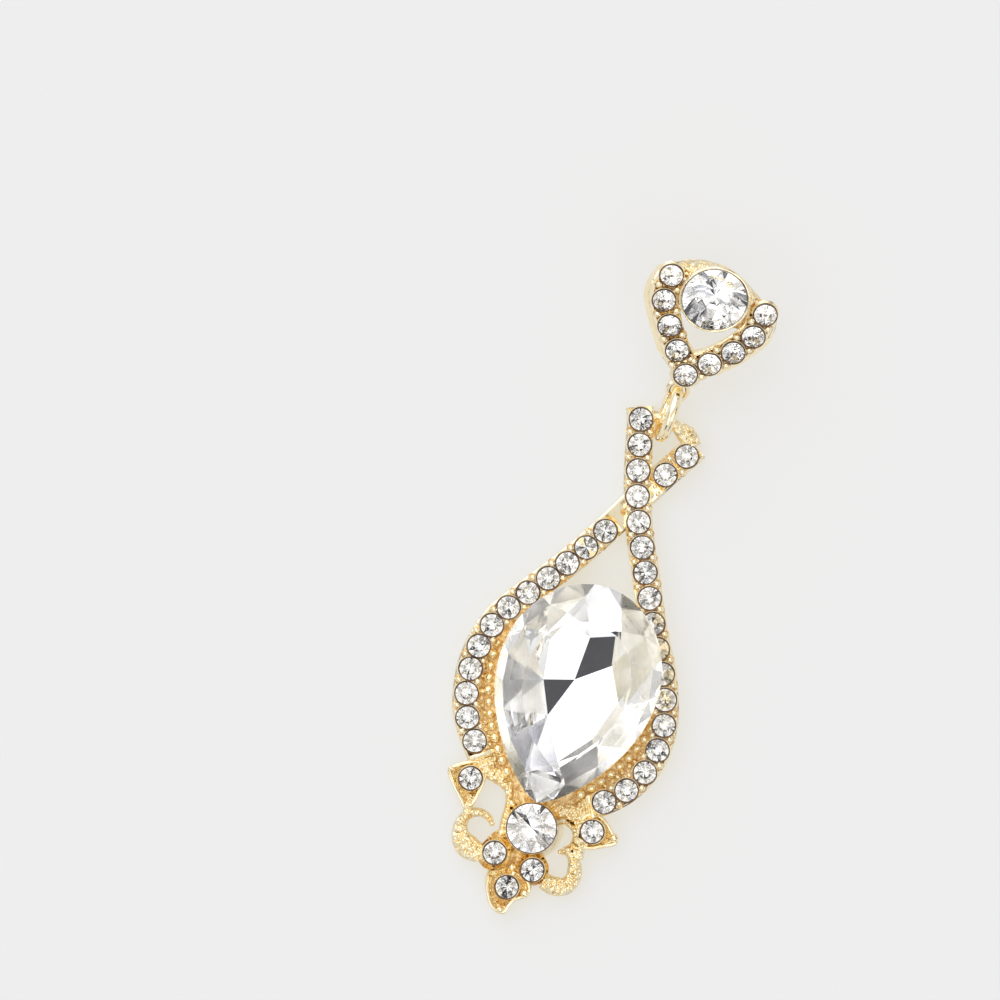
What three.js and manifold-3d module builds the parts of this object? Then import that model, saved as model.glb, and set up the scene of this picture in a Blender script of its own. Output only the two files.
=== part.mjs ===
// A teardrop earring lying face up: a stud with a V of stones, a jump ring, and a drop of two
// crossing stone-set strands around a large pear-cut stone, with leaves and scrolls below it.
// Millimetres. +X to the right, +Y along the earring towards the stud, +Z up from the surface.

import * as THREE from 'three';
import { mergeVertices } from 'three/addons/utils/BufferGeometryUtils.js';
import Module from 'manifold-3d';

const wasm = await Module();
wasm.setup();

// Stones
const pearLength = 18;
const pearWidth = 13;
const pearBelly = 10.5;           // from the tip up to the widest line
const pearCrown = 1.5;            // girdle to table
const pearPavilion = 3.2;         // girdle to the keel underneath
const roundStone = 3.9;           // diameter of the round stone under the pear
const studStone = 5.1;            // diameter of the round stone in the stud
const smallStone = 1.8;           // diameter of every small stone
const girdle = 0.12;              // height of the band at a stone's widest
const stoneGap = 0.13;            // least gap between two small stones in a row
const seatClearance = 0.05;       // between a stone and its seat

// Drop casting
const strandRise = 34.6;          // from the round stone's centre to the top of the drop
const strandSpread = 16.2;        // between the strands' middle lines at the belly
const strandFace = 1.85;          // width of a strand's flat face
const strandFoot = 2.25;          // width of a strand at its back
const strandHeight = 2.0;
const rimWall = 0.17;             // wall around a small stone
const rimHeight = 0.16;           // how far that wall stands above the strand
const rimDraft = 0.06;            // how much wider that wall is at its foot
const cupWall = 0.3;              // wall around the two large round stones
const cupHeight = 2.9;            // of the wall around the stone under the pear, above the back
const cupFlare = 0.35;            // how much wider that wall is at its foot
const pearBackGap = 0.35;         // the pear's keel above the back
const pearRimWidth = 1.3;         // width of the ring that carries the pear
const pearTuck = 0.35;            // how far the pear overhangs the foot of that ring
const pearLip = 0.12;             // how far it overhangs the ring's top
const pearGap = 0.1;              // between the pear's tip and the round stone
const pearShift = -0.27;          // the pear's axis from the round stone's centre
const webHeight = 1.25;           // floor between the strands and the pear
const granule = 0.72;             // diameter of the grains around the pear
const prong = 0.46;               // diameter of the grains between small stones
const ornamentDepth = 5.1;        // from the round stone's edge to the bottom leaf's tip
const ornamentHeight = 1.5;       // of leaves and scrolls
const leafBorder = 0.12;          // metal beside a leaf's stone, beyond the wall around it
const scrollWidth = 1.2;
const barDiameter = 0.9;          // of the bar that the jump ring holds

// Jump ring
const ringOuter = 5.0;
const ringWire = 0.9;
const ringPlay = 0.15;            // between the ring and the bar inside it
const barDip = 48;                // degrees below level, from the ring's middle to the bar
const ringTilt = 8;               // degrees off upright
const ringAside = -0.15;          // from the round stone's centre line

// Stud
const studSpread = 8.2;           // between the top stones of the V
const studRise = 7.55;            // from the tip stone to the top of the V
const studThickness = 1.5;
const armFace = 1.5;              // width of an arm of the V at its face
const armFoot = 2.2;              // width of an arm at its back
const armAside = 0.2;             // how far an arm's face lies outwards from its stones
const armFlare = 0.55;            // how far an arm's back lies outwards from its stones
const studRimHeight = 0.9;        // of the wall around a small stone of the stud
const studCupHeight = 2.6;        // of the wall around the large stone, above the back
const studCupTaper = 0.85;        // how much narrower that wall is at its back
const studFloor = 0.9;            // thickness of the plate between the arms and the cup
const studStoneRise = 7.2;        // from the tip stone to the large round stone
const studStoneAside = -0.36;     // of the large stone from the stud's middle line
const eyeletBore = 1.2;
const eyeletWall = 0.38;
const eyeletThickness = 0.7;
const tipToEyelet = 1.92;
const studTurn = -4;              // degrees about the upright axis
const studShift = 0.05;           // the stud's middle line from its eyelet
const postDiameter = 0.9;
const postLength = 6.3;
const postPad = 2.2;
const postBelow = 1.3;            // from the large stone's middle towards the eyelet
const postPadThickness = 0.4;
const postGap = 0.1;              // between the pad and the plate's back

// Middle line of each strand from its upper end to its lower end.
// across: share of half the strand spread; up: share of the strand rise; tall: share of its height.
const overStrand = [
  { across: -0.30, up: 0.995, tall: 1 },
  { across: -0.254, up: 0.968, tall: 1 },
  { across: -0.114, up: 0.848, tall: 1 },
  { across: 0.063, up: 0.735, tall: 1 },
  { across: 0.295, up: 0.626, tall: 1 },
  { across: 0.525, up: 0.518, tall: 1 },
  { across: 0.765, up: 0.42, tall: 1 },
  { across: 0.92, up: 0.312, tall: 1 },
  { across: 0.905, up: 0.222, tall: 1 },
  { across: 0.764, up: 0.151, tall: 1 },
  { across: 0.586, up: 0.108, tall: 1 },
  { across: 0.47, up: 0.087, tall: 1 },
];
const underStrand = [
  { across: 0.345, up: 0.948, tall: 1 },
  { across: 0.279, up: 0.92, tall: 1 },
  { across: 0.142, up: 0.865, tall: 1 },
  { across: -0.043, up: 0.785, tall: 0.6 },
  { across: -0.248, up: 0.696, tall: 1 },
  { across: -0.489, up: 0.602, tall: 1 },
  { across: -0.741, up: 0.516, tall: 1 },
  { across: -0.981, up: 0.4255, tall: 1 },
  { across: -1.068, up: 0.317, tall: 1 },
  { across: -0.975, up: 0.211, tall: 1 },
  { across: -0.804, up: 0.15, tall: 1 },
  { across: -0.69, up: 0.118, tall: 1 },
];

// Where the rows of stones start and end, as shares of the strand's length.
const overRuns = [{ from: 0.0275, to: 0.9645 }];
const underRuns = [{ from: 0.032, to: 0.1 }, { from: 0.301, to: 0.9575 }];

// Bar across the top of the drop, in the same shares as the strands.
const topBar = [
  { across: -0.235, up: 0.985 },
  { across: 0.04, up: 0.985 },
  { across: 0.26, up: 0.948 },
];

// Arms of the stud's V and the arch over its large stone, from the tip stone.
// across: share of half the stud spread; up: share of the stud rise.
const leftArm = [
  { across: 0, up: 0 },
  { across: -0.366, up: 0.242 },
  { across: -0.683, up: 0.477 },
  { across: -0.966, up: 0.735 },
  { across: -1, up: 1 },
];
const rightArm = [
  { across: 0, up: 0 },
  { across: 0.366, up: 0.212 },
  { across: 0.707, up: 0.434 },
  { across: 0.939, up: 0.679 },
  { across: 0.976, up: 0.936 },
];
const studArch = [
  { across: -0.93, up: 1.0 },
  { across: -0.66, up: 1.09 },
  { across: -0.29, up: 1.14 },
  { across: 0.14, up: 1.12 },
  { across: 0.45, up: 1.04 },
  { across: 0.88, up: 0.91 },
];

// Ornament around the round stone. turn: degrees from +X; out: share of the ornament depth,
// from the stone's edge; wide: share of the scroll width.
const leafStones = [
  { turn: 159, out: 0.84, tipTurn: 163, tipOut: 1.22 },
  { turn: 15, out: 0.57, tipTurn: 12, tipOut: 0.94 },
  { turn: -94, out: 0.61, tipTurn: -91, tipOut: 1.01 },
  { turn: -128, out: 0.31, tipTurn: -140, tipOut: 0.5 },
  { turn: -70, out: 0.27, tipTurn: -66, tipOut: 0.42 },
];
const scrolls = {
  leftScroll: [
    { turn: -134, out: 0.42, wide: 1.2 },
    { turn: -143, out: 0.62, wide: 1.25 },
    { turn: -152, out: 0.74, wide: 1.2 },
    { turn: -163, out: 0.74, wide: 1 },
    { turn: -173, out: 0.65, wide: 0.7 },
    { turn: -179, out: 0.5, wide: 0.55 },
    { turn: -177, out: 0.34, wide: 0.5 },
    { turn: -168, out: 0.25, wide: 0.35 },
  ],
  leftLink: [
    { turn: 162, out: 0.84, wide: 0.7 },
    { turn: 173, out: 0.7, wide: 0.65 },
    { turn: -178, out: 0.55, wide: 0.6 },
  ],
  leftLeaf: [
    { turn: 146, out: 1.0, wide: 0.6 },
    { turn: 143, out: 0.56, wide: 0.85 },
    { turn: 142, out: 0.27, wide: 0.9 },
    { turn: 150, out: 0.0, wide: 0.7 },
  ],
  rightLeaf: [
    { turn: 84, out: 0.02, wide: 0.6 },
    { turn: 54, out: 0.16, wide: 0.9 },
    { turn: 38, out: 0.36, wide: 0.95 },
    { turn: 24, out: 0.5, wide: 0.8 },
  ],
  rightRim: [
    { turn: 44, out: 0.05, wide: 0.5 },
    { turn: 23, out: 0.2, wide: 0.55 },
    { turn: 6, out: 0.32, wide: 0.6 },
    { turn: -10, out: 0.36, wide: 0.6 },
    { turn: -18, out: 0.42, wide: 0.6 },
  ],
  rightLink: [
    { turn: 12, out: 0.55, wide: 0.9 },
    { turn: -2, out: 0.5, wide: 0.8 },
    { turn: -14, out: 0.46, wide: 0.8 },
  ],
  rightScroll: [
    { turn: -24, out: 0.18, wide: 0.45 },
    { turn: -18, out: 0.32, wide: 0.55 },
    { turn: -19, out: 0.46, wide: 0.8 },
    { turn: -27, out: 0.57, wide: 0.95 },
    { turn: -38, out: 0.63, wide: 1.15 },
    { turn: -51, out: 0.58, wide: 1.1 },
    { turn: -64, out: 0.42, wide: 0.9 },
  ],
};

const gold = { color: 0xe6cf94, roughness: 0.22, metalness: 1 };
const crystal = { color: 0xf2f4f6, roughness: 0.03, metalness: 0.1 };
const tableShare = 0.58;          // table width in a stone's width
const crownShare = 0.17;          // crown height in a round stone's diameter
const pavilionShare = 0.4;        // pavilion depth in a round stone's diameter
const keelShare = 0.3;            // width of the pear's keel in the pear's width
const keelDepth = 0.93;           // depth of the keel's edge in the pear's pavilion
const keelPlace = 0.9;            // height of the keel's middle in the pear's belly

// Flat sides around each shape.
const stoneSides = 8;
const largeSides = 16;
const pearSides = 14;             // on each side of the pear
const rimSides = 10;
const cupSides = 24;

const sliver = 0.01;              // faces thinner than this are merged into their neighbours

const radians = THREE.MathUtils.degToRad;

function solidOf(geometry) {
  const bare = geometry.clone();
  bare.deleteAttribute('normal');
  bare.deleteAttribute('uv');
  const merged = mergeVertices(bare, 1e-5);
  return new wasm.Manifold(new wasm.Mesh({
    numProp: 3,
    vertProperties: Float32Array.from(merged.attributes.position.array),
    triVerts: Uint32Array.from(merged.index.array),
  }));
}

function geometryOf(solid) {
  const mesh = solid.getMesh();
  const geometry = new THREE.BufferGeometry();
  geometry.setAttribute('position', new THREE.BufferAttribute(mesh.vertProperties, 3));
  geometry.setIndex(new THREE.BufferAttribute(mesh.triVerts, 1));
  geometry.computeVertexNormals();
  return geometry;
}

// The metal left after the cuts, without the slivers that crossing faces leave.
function carve(metal, cuts) {
  return geometryOf(metal.subtract(fuse(cuts)).simplify(sliver));
}

function fuse(solids) {
  return solids.reduce((sum, solid) => sum.add(solid));
}

// Closed surface through rings of equal length, capped at both ends around a middle point.
function loft(rings, firstMiddle, lastMiddle) {
  const sides = rings[0].length;
  const points = rings.flat();
  const faces = [];
  for (let row = 0; row < rings.length - 1; row++) {
    for (let side = 0; side < sides; side++) {
      const here = row * sides + side;
      const next = row * sides + (side + 1) % sides;
      faces.push(here, next, next + sides, here, next + sides, here + sides);
    }
  }
  const ends = [
    { ring: rings[0], start: 0, middle: firstMiddle, outward: -1 },
    { ring: rings.at(-1), start: (rings.length - 1) * sides, middle: lastMiddle, outward: 1 },
  ];
  for (const end of ends) {
    const middle = points.length;
    points.push(end.middle ?? meanPoint(end.ring));
    for (let side = 0; side < sides; side++) {
      const here = end.start + side;
      const next = end.start + (side + 1) % sides;
      faces.push(...(end.outward > 0 ? [middle, here, next] : [middle, next, here]));
    }
  }
  return closedGeometry(points, faces);
}

function meanPoint(ring) {
  const sum = ring.reduce((total, point) => total.add(point), new THREE.Vector3());
  return sum.divideScalar(ring.length);
}

// Turns the faces over where they would point inwards.
function closedGeometry(points, faces) {
  let volume = 0;
  for (let i = 0; i < faces.length; i += 3) {
    const [a, b, c] = [points[faces[i]], points[faces[i + 1]], points[faces[i + 2]]];
    volume += a.dot(new THREE.Vector3().crossVectors(b, c));
  }
  const geometry = new THREE.BufferGeometry().setFromPoints(points);
  geometry.setIndex(volume > 0 ? faces : faces.reverse());
  geometry.computeVertexNormals();
  return geometry;
}

function circle(x, y, z, radius, sides) {
  return Array.from({ length: sides }, (_, i) => {
    const angle = (i / sides) * Math.PI * 2;
    return new THREE.Vector3(x + radius * Math.cos(angle), y + radius * Math.sin(angle), z);
  });
}

function slab(points, low, high) {
  const shape = new THREE.Shape(points.map((point) => new THREE.Vector2(point.x, point.y)));
  const geometry = new THREE.ExtrudeGeometry(shape, { depth: high - low, bevelEnabled: false });
  return solidOf(geometry.translate(0, 0, low));
}

// Round tapered post standing on its low end.
function drum(place, low, high, lowRadius, highRadius, sides) {
  return solidOf(loft([
    circle(place.x, place.y, low, lowRadius, sides),
    circle(place.x, place.y, high, highRadius, sides),
  ]));
}

function grain(place, diameter) {
  return solidOf(new THREE.IcosahedronGeometry(diameter / 2).translate(place.x, place.y, place.z));
}

function smallGrain(place, diameter) {
  return solidOf(new THREE.OctahedronGeometry(diameter / 2).translate(place.x, place.y, place.z));
}

function lineThrough(points) {
  return new THREE.CatmullRomCurve3(points, false, 'centripetal');
}

function sideways(curve, t) {
  const along = curve.getTangentAt(t);
  return new THREE.Vector3(along.y, -along.x, 0).normalize();
}

// Flat-backed band along a curve in the plane. section(t) gives its face and foot width, its
// height, how high the upright part of its sides reaches, and how far its face and its foot
// lie to the right of the curve.
function band(curve, steps, low, section) {
  const rings = [];
  for (let step = 0; step <= steps; step++) {
    const t = step / steps;
    const middle = curve.getPointAt(t).setZ(0);
    const side = sideways(curve, t);
    const { face, foot, height, skirt, faceAside = 0, footAside = 0 } = section(t);
    const corners = [
      [footAside - foot / 2, 0], [footAside + foot / 2, 0], [footAside + foot / 2, skirt],
      [faceAside + face / 2, height], [faceAside - face / 2, height],
      [footAside - foot / 2, skirt],
    ];
    rings.push(corners.map(([across, up]) =>
      middle.clone().addScaledVector(side, across).setZ(low + up)));
  }
  return solidOf(loft(rings));
}

// Evenly spaced places along a stretch of a curve, as many as fit at the least pitch.
function rowOfPlaces(curve, run) {
  const length = curve.getLength() * (run.to - run.from);
  const gaps = Math.floor(length / (smallStone + stoneGap));
  const places = [];
  for (let i = 0; i <= gaps; i++) {
    const t = run.from + (run.to - run.from) * (gaps > 0 ? i / gaps : 0.5);
    const place = curve.getPointAt(t).setZ(0);
    places.push(Object.assign(place, { side: sideways(curve, t) }));
  }
  return places;
}

// Round stone: a keel below, an upright girdle, facets up to a flat table.
// grow widens and deepens it all round, which gives the room that its seat leaves.
function roundCut(diameter, sides, grow = 0) {
  const radius = diameter / 2 + grow;
  const depth = diameter * pavilionShare + grow * 1.3;
  const crown = diameter * crownShare + grow;
  return loft([
    circle(0, 0, -grow, radius, sides),
    circle(0, 0, girdle, radius, sides),
    circle(0, 0, girdle + crown, radius * tableShare, sides),
  ], new THREE.Vector3(0, 0, -depth));
}

// Room for a stone, open upwards so that the stone drops in.
function roundSeat(diameter, sides) {
  const radius = diameter / 2 + seatClearance;
  const depth = diameter * pavilionShare + seatClearance * 1.5;
  return loft([
    circle(0, 0, -seatClearance, radius, sides),
    circle(0, 0, diameter, radius, sides),
  ], new THREE.Vector3(0, 0, -depth));
}

// The pear's outline seen from the front, tip at the origin, as half widths up the height.
// inset moves every point inwards along the outline's normal.
function pearOutline(inset, perSide) {
  const head = pearLength - pearBelly;
  const half = pearWidth / 2;
  const flank = new THREE.CubicBezierCurve(
    new THREE.Vector2(half, pearBelly),
    new THREE.Vector2(half, pearBelly * 0.62),
    new THREE.Vector2(half * 0.56, pearBelly * 0.21),
    new THREE.Vector2(half * 0.06, 0),
  );
  const right = [];
  const headSteps = Math.round(perSide * 0.45);
  for (let i = 0; i <= headSteps; i++) {
    const angle = (i / headSteps) * Math.PI / 2;
    right.push(new THREE.Vector2(half * Math.sin(angle), pearBelly + head * Math.cos(angle)));
  }
  const flankSteps = perSide - headSteps;
  for (let i = 1; i <= flankSteps; i++) {
    right.push(flank.getPoint(i / flankSteps));
  }
  const left = right.slice(1).map((point) => new THREE.Vector2(-point.x, point.y)).reverse();
  const outline = [...right, ...left];
  return outline.map((point, i) => {
    const before = outline[(i + outline.length - 1) % outline.length];
    const after = outline[(i + 1) % outline.length];
    const along = new THREE.Vector2().subVectors(after, before).normalize();
    return new THREE.Vector2(point.x + along.y * inset, point.y - along.x * inset);
  });
}

function pearRing(inset, z) {
  return pearOutline(inset, pearSides).map((point) => new THREE.Vector3(
    pearPlace.x + point.x, pearPlace.y + point.y, z));
}

// The same outline drawn in towards a point on the pear's axis, for tables and keels.
function pearRingTowards(share, z) {
  const middle = new THREE.Vector3(pearPlace.x, pearPlace.y + pearBelly * keelPlace, z);
  return pearRing(0, z).map((point) => point.lerp(middle, 1 - share));
}

function pearStone() {
  return loft([
    pearRingTowards(keelShare, pearLevel - pearPavilion * keelDepth),
    pearRing(0, pearLevel),
    pearRing(0, pearLevel + girdle),
    pearRingTowards(0.86, pearLevel + girdle + pearCrown * 0.55),
    pearRingTowards(0.66, pearLevel + girdle + pearCrown),
  ], new THREE.Vector3(pearPlace.x, pearPlace.y + pearBelly * keelPlace, pearLevel - pearPavilion));
}

function pearSeat() {
  const room = seatClearance * 2;
  const keel = new THREE.Vector3(
    pearPlace.x, pearPlace.y + pearBelly * keelPlace, pearLevel - pearPavilion - room);
  return loft([
    pearRingTowards(keelShare, pearLevel - pearPavilion * keelDepth - room),
    pearRing(-seatClearance, pearLevel - room),
    pearRing(-seatClearance, pearLevel + pearCrown * 2),
  ], keel);
}

const pearLevel = pearPavilion + pearBackGap;
const pearPlace = new THREE.Vector3(pearShift, roundStone / 2 + pearGap, 0);

function onDrop(row) {
  return new THREE.Vector3(row.across * strandSpread / 2, row.up * strandRise, 0);
}

function aroundRound(turn, out) {
  const reach = roundStone / 2 + out * ornamentDepth;
  return new THREE.Vector3(reach * Math.cos(radians(turn)), reach * Math.sin(radians(turn)), 0);
}

function strand(rows, curve) {
  const heights = new THREE.CatmullRomCurve3(
    rows.map((row) => onDrop(row).setZ(row.tall * strandHeight)), false, 'centripetal');
  const steps = 2.5 * (rows.length - 1);
  return band(curve, Math.round(steps), 0, (t) => ({
    face: strandFace,
    foot: strandFoot,
    height: heights.getPointAt(t).z,
    skirt: strandHeight * 0.25,
  }));
}

function rim(place, low, top) {
  const radius = smallStone / 2 + rimWall;
  return drum(place, low, top, radius + rimDraft, radius, rimSides);
}

// Grains in the notches between neighbouring stones of a row.
function prongs(places, level) {
  const grains = [];
  for (let i = 0; i < places.length - 1; i++) {
    const middle = places[i].clone().lerp(places[i + 1], 0.5).setZ(level);
    for (const side of [-1, 1]) {
      const place = middle.clone().addScaledVector(places[i].side, side * smallStone * 0.36);
      grains.push(smallGrain(place, prong));
    }
  }
  return grains;
}

// Floor between the strands' lower halves, the pear's ring and the round stone's cup.
function strandWeb() {
  const lower = (curve) => [0.62, 0.72, 0.82, 0.92, 1].map((t) => curve.getPointAt(t));
  const corners = [...lower(overCurve), new THREE.Vector3(), ...lower(underCurve).reverse()];
  return slab(corners, 0, webHeight);
}

function pearRingWall() {
  return solidOf(loft([
    pearRing(pearTuck, 0),
    pearRing(pearTuck, pearLevel * 0.45),
    pearRing(pearLip, pearLevel - girdle),
  ]));
}

function pearBackOpening() {
  return solidOf(loft([pearRing(pearRimWidth, -1), pearRing(pearRimWidth, pearLevel * 2)]));
}

// Grains in two rows beside the pear's lower flanks.
function pearGrains() {
  const outline = pearOutline(-granule * 0.62, 60);
  const grains = [];
  let travelled = 0;
  for (let i = 1; i < outline.length; i++) {
    travelled += outline[i].distanceTo(outline[i - 1]);
    const beside = outline[i].y > pearBelly * 0.12 && outline[i].y < pearBelly * 1.08;
    if (beside && travelled >= granule * 1.22) {
      const place = new THREE.Vector3(
        pearPlace.x + outline[i].x, pearPlace.y + outline[i].y, webHeight + granule * 0.15);
      grains.push(grain(place, granule));
      travelled = 0;
    }
  }
  return grains;
}

function ribbon(rows) {
  const curve = lineThrough(rows.map((row) => aroundRound(row.turn, row.out)));
  const widths = lineThrough(rows.map((row, i) => new THREE.Vector3(i, row.wide, 0)));
  return band(curve, 3 * (rows.length - 1), 0, (t) => {
    const wide = widths.getPoint(t).y * scrollWidth;
    return { face: wide * 0.45, foot: wide, height: ornamentHeight, skirt: ornamentHeight * 0.5 };
  });
}

// Leaf around a small stone, drawn out to a point.
function leaf(row) {
  const stone = aroundRound(row.turn, row.out);
  const tip = aroundRound(row.tipTurn, row.tipOut);
  const along = tip.clone().sub(stone);
  const length = along.length();
  along.normalize();
  const side = new THREE.Vector3(-along.y, along.x, 0);
  const half = smallStone / 2 + rimWall + leafBorder;
  const at = (forward, across) => stone.clone()
    .addScaledVector(along, forward).addScaledVector(side, across);
  const outline = [
    at(-half * 0.9, -half * 0.5), at(-half * 0.3, -half), at(length * 0.35, -half * 0.95),
    at(length * 0.75, -half * 0.45), at(length, -half * 0.12), at(length, half * 0.12),
    at(length * 0.75, half * 0.45), at(length * 0.35, half * 0.95), at(-half * 0.3, half),
    at(-half * 0.9, half * 0.5),
  ];
  const middle = meanPoint(outline);
  const drawnIn = outline.map((point) => point.clone().lerp(middle, 0.14));
  const level = (points, z) => points.map((point) => point.clone().setZ(z));
  return solidOf(loft([
    level(outline, 0), level(outline, ornamentHeight * 0.55), level(drawnIn, ornamentHeight),
  ]));
}

function ornamentWeb() {
  const [, , bottom, left, right] = leafStones.map((row) => aroundRound(row.turn, row.out));
  return slab([new THREE.Vector3(), left, bottom, right], 0, ornamentHeight * 0.65);
}

function dropBar() {
  const curve = lineThrough(topBar.map((row) => onDrop(row).setZ(barLevel)));
  const section = new THREE.Shape();
  section.absarc(0, 0, barDiameter / 2, 0, Math.PI * 2);
  return solidOf(new THREE.ExtrudeGeometry(section, {
    steps: 8, curveSegments: 5, extrudePath: curve, bevelEnabled: false,
  }));
}

function dropFrame() {
  const smallSeat = roundSeat(smallStone, stoneSides);
  const seated = [...overPlaces, ...underPlaces, ...leafPlaces];
  const metal = fuse([
    strand(overStrand, overCurve),
    strand(underStrand, underCurve),
    dropBar(),
    strandWeb(),
    pearRingWall(),
    drum(new THREE.Vector3(), 0, cupHeight, roundStone / 2 + cupWall + cupFlare,
      roundStone / 2 + cupWall, cupSides),
    ornamentWeb(),
    ...Object.values(scrolls).map(ribbon),
    ...leafStones.map(leaf),
    ...seated.map((place) => rim(place, 0, rimTop)),
    ...underRows.flatMap((row) => prongs(row, strandHeight)),
    ...prongs(overPlaces, strandHeight),
    ...pearGrains(),
  ]);
  const cuts = [
    solidOf(pearSeat()),
    pearBackOpening(),
    solidOf(roundSeat(roundStone, largeSides).translate(0, 0, cupHeight - girdle)),
    ...seated.map((place) => solidOf(smallSeat.clone().translate(place.x, place.y, seatLevel))),
  ];
  return carve(metal, cuts);
}

const seatLevel = strandHeight + rimHeight - girdle;
const rimTop = strandHeight + rimHeight;
const overCurve = lineThrough(overStrand.map(onDrop));
const underCurve = lineThrough(underStrand.map(onDrop));
const overPlaces = overRuns.flatMap((run) => rowOfPlaces(overCurve, run));
const underRows = underRuns.map((run) => rowOfPlaces(underCurve, run));
const underPlaces = underRows.flat();
const leafPlaces = leafStones.map((row) => aroundRound(row.turn, row.out));

// The ring stands on its edge. The bar lies inside it, low on the drop's side.
const ringRadius = (ringOuter - ringWire) / 2;
const ringLevel = ringRadius * Math.cos(radians(ringTilt)) + ringWire / 2;
const barFromRing = ringRadius - ringWire / 2 - barDiameter / 2 - ringPlay;
const barLevel = ringLevel - barFromRing * Math.sin(radians(barDip));
const ringPlace = onDrop(topBar[1])
  .setX(ringAside)
  .add(new THREE.Vector3(0, barFromRing * Math.cos(radians(barDip)), ringLevel));

function jumpRing() {
  const geometry = new THREE.TorusGeometry(ringRadius, ringWire / 2, 8, 24);
  return geometry.rotateY(Math.PI / 2).rotateY(radians(ringTilt));
}

// The stud has its own frame: origin in the eyelet's bore, +Z out of its face.
const studBack = -eyeletThickness / 2;
const studFace = studBack + studThickness;
const tipPlace = new THREE.Vector3(-studShift, tipToEyelet, 0);
const studCup = tipPlace.clone().add(new THREE.Vector3(studStoneAside, studStoneRise, 0));
const postPlace = studCup.clone().sub(new THREE.Vector3(0, postBelow, 0));
const studSeatLevel = studFace + rimHeight - girdle;

function onStud(row) {
  return tipPlace.clone().add(
    new THREE.Vector3(row.across * studSpread / 2, row.up * studRise, 0));
}

const armCurves = [leftArm, rightArm].map((rows) => lineThrough(rows.map(onStud)));
const armRows = armCurves.map((curve) => rowOfPlaces(curve, { from: 0, to: 1 }));
const studPlaces = [...armRows[0], ...armRows[1].slice(1)];

function studPlate() {
  const rows = [...leftArm.slice(3), ...studArch, ...rightArm.slice(3).reverse()];
  return slab(rows.map(onStud), studBack, studBack + studFloor);
}

function studArms() {
  return armCurves.map((curve, i) => band(curve, 10, studBack, (t) => {
    const outwards = (i === 0 ? -1 : 1) * Math.min(1, t * 4, (1 - t) * 4);
    return {
      face: armFace,
      foot: armFoot,
      height: studThickness,
      skirt: studThickness * 0.25,
      faceAside: outwards * armAside,
      footAside: outwards * armFlare,
    };
  }));
}

function archBand(curve) {
  return band(curve, 12, studBack, () => ({
    face: prong, foot: prong * 2.4, height: studThickness, skirt: studThickness * 0.3,
  }));
}

function archGrains(curve) {
  const count = Math.floor(curve.getLength() / (prong * 1.5));
  return Array.from({ length: count }, (_, i) => {
    const place = curve.getPointAt((i + 0.5) / count);
    return smallGrain(place.setZ(studFace), prong * 1.2);
  });
}

function eyelet() {
  const outer = eyeletBore / 2 + eyeletWall;
  const middle = new THREE.Vector3();
  const neck = band(new THREE.LineCurve3(middle, tipPlace), 1, studBack, () => ({
    face: outer * 1.3, foot: outer * 1.5, height: eyeletThickness, skirt: eyeletThickness * 0.6,
  }));
  return drum(middle, studBack, studBack + eyeletThickness, outer, outer, 18).add(neck);
}

function studFrame() {
  const arch = lineThrough(studArch.map(onStud));
  const smallSeat = roundSeat(smallStone, stoneSides);
  const metal = fuse([
    eyelet(),
    ...studArms(),
    studPlate(),
    archBand(arch),
    drum(studCup, studBack, studBack + studCupHeight + girdle,
      studStone / 2 + cupWall - studCupTaper, studStone / 2 + cupWall, cupSides),
    ...studPlaces.map((place) => rim(place, studFace + rimHeight - studRimHeight, studFace + rimHeight)),
    ...armRows.flatMap((row) => prongs(row, studFace)),
    ...archGrains(arch),
  ]);
  const cuts = [
    drum(new THREE.Vector3(), studBack - 1, studBack + eyeletThickness * 2,
      eyeletBore / 2, eyeletBore / 2, 18),
    solidOf(roundSeat(studStone, largeSides)
      .translate(studCup.x, studCup.y, studBack + studCupHeight)),
    ...studPlaces.map((place) =>
      solidOf(smallSeat.clone().translate(place.x, place.y, studSeatLevel))),
  ];
  return carve(metal, cuts);
}

// Pad and post in one, with a rounded end, behind the large stone.
function earPost() {
  const radius = postDiameter / 2;
  const profile = [new THREE.Vector2(0, 0), new THREE.Vector2(postPad / 2, 0),
    new THREE.Vector2(postPad / 2, postPadThickness), new THREE.Vector2(radius, postPadThickness)];
  for (let i = 0; i <= 4; i++) {
    const angle = (i / 4) * Math.PI / 2;
    profile.push(new THREE.Vector2(radius * Math.cos(angle),
      postLength - radius + radius * Math.sin(angle)));
  }
  profile.at(-1).x = 0;
  return new THREE.LatheGeometry(profile, 12).rotateX(-Math.PI / 2);
}

// The stud leans forward until the post's end and the ring both stand on the surface:
// reach * cos(lean) - rise * sin(lean) = ring level - post radius. It rolls as far as the ring.
function studLean() {
  const roll = radians(ringTilt);
  const behind = -studBack + postGap + postLength - postDiameter / 2;
  const reach = behind * Math.cos(roll) + postPlace.x * Math.sin(roll);
  const rise = postPlace.y + ringRadius * Math.cos(radians(ringTilt));
  const level = ringLevel - postDiameter / 2;
  return Math.acos(level / Math.hypot(reach, rise)) - Math.atan2(rise, reach);
}

function addPiece(group, name, geometry, finish, x = 0, y = 0, z = 0) {
  const piece = new THREE.Mesh(geometry, new THREE.MeshStandardMaterial(finish));
  piece.name = name;
  piece.position.set(x, y, z);
  group.add(piece);
}

function addStones(group, prefix, places, level) {
  places.forEach((place, i) => addPiece(group, `${prefix}_${String(i + 1).padStart(2, '0')}`,
    roundCut(smallStone, stoneSides), crystal, place.x, place.y, level));
}

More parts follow.
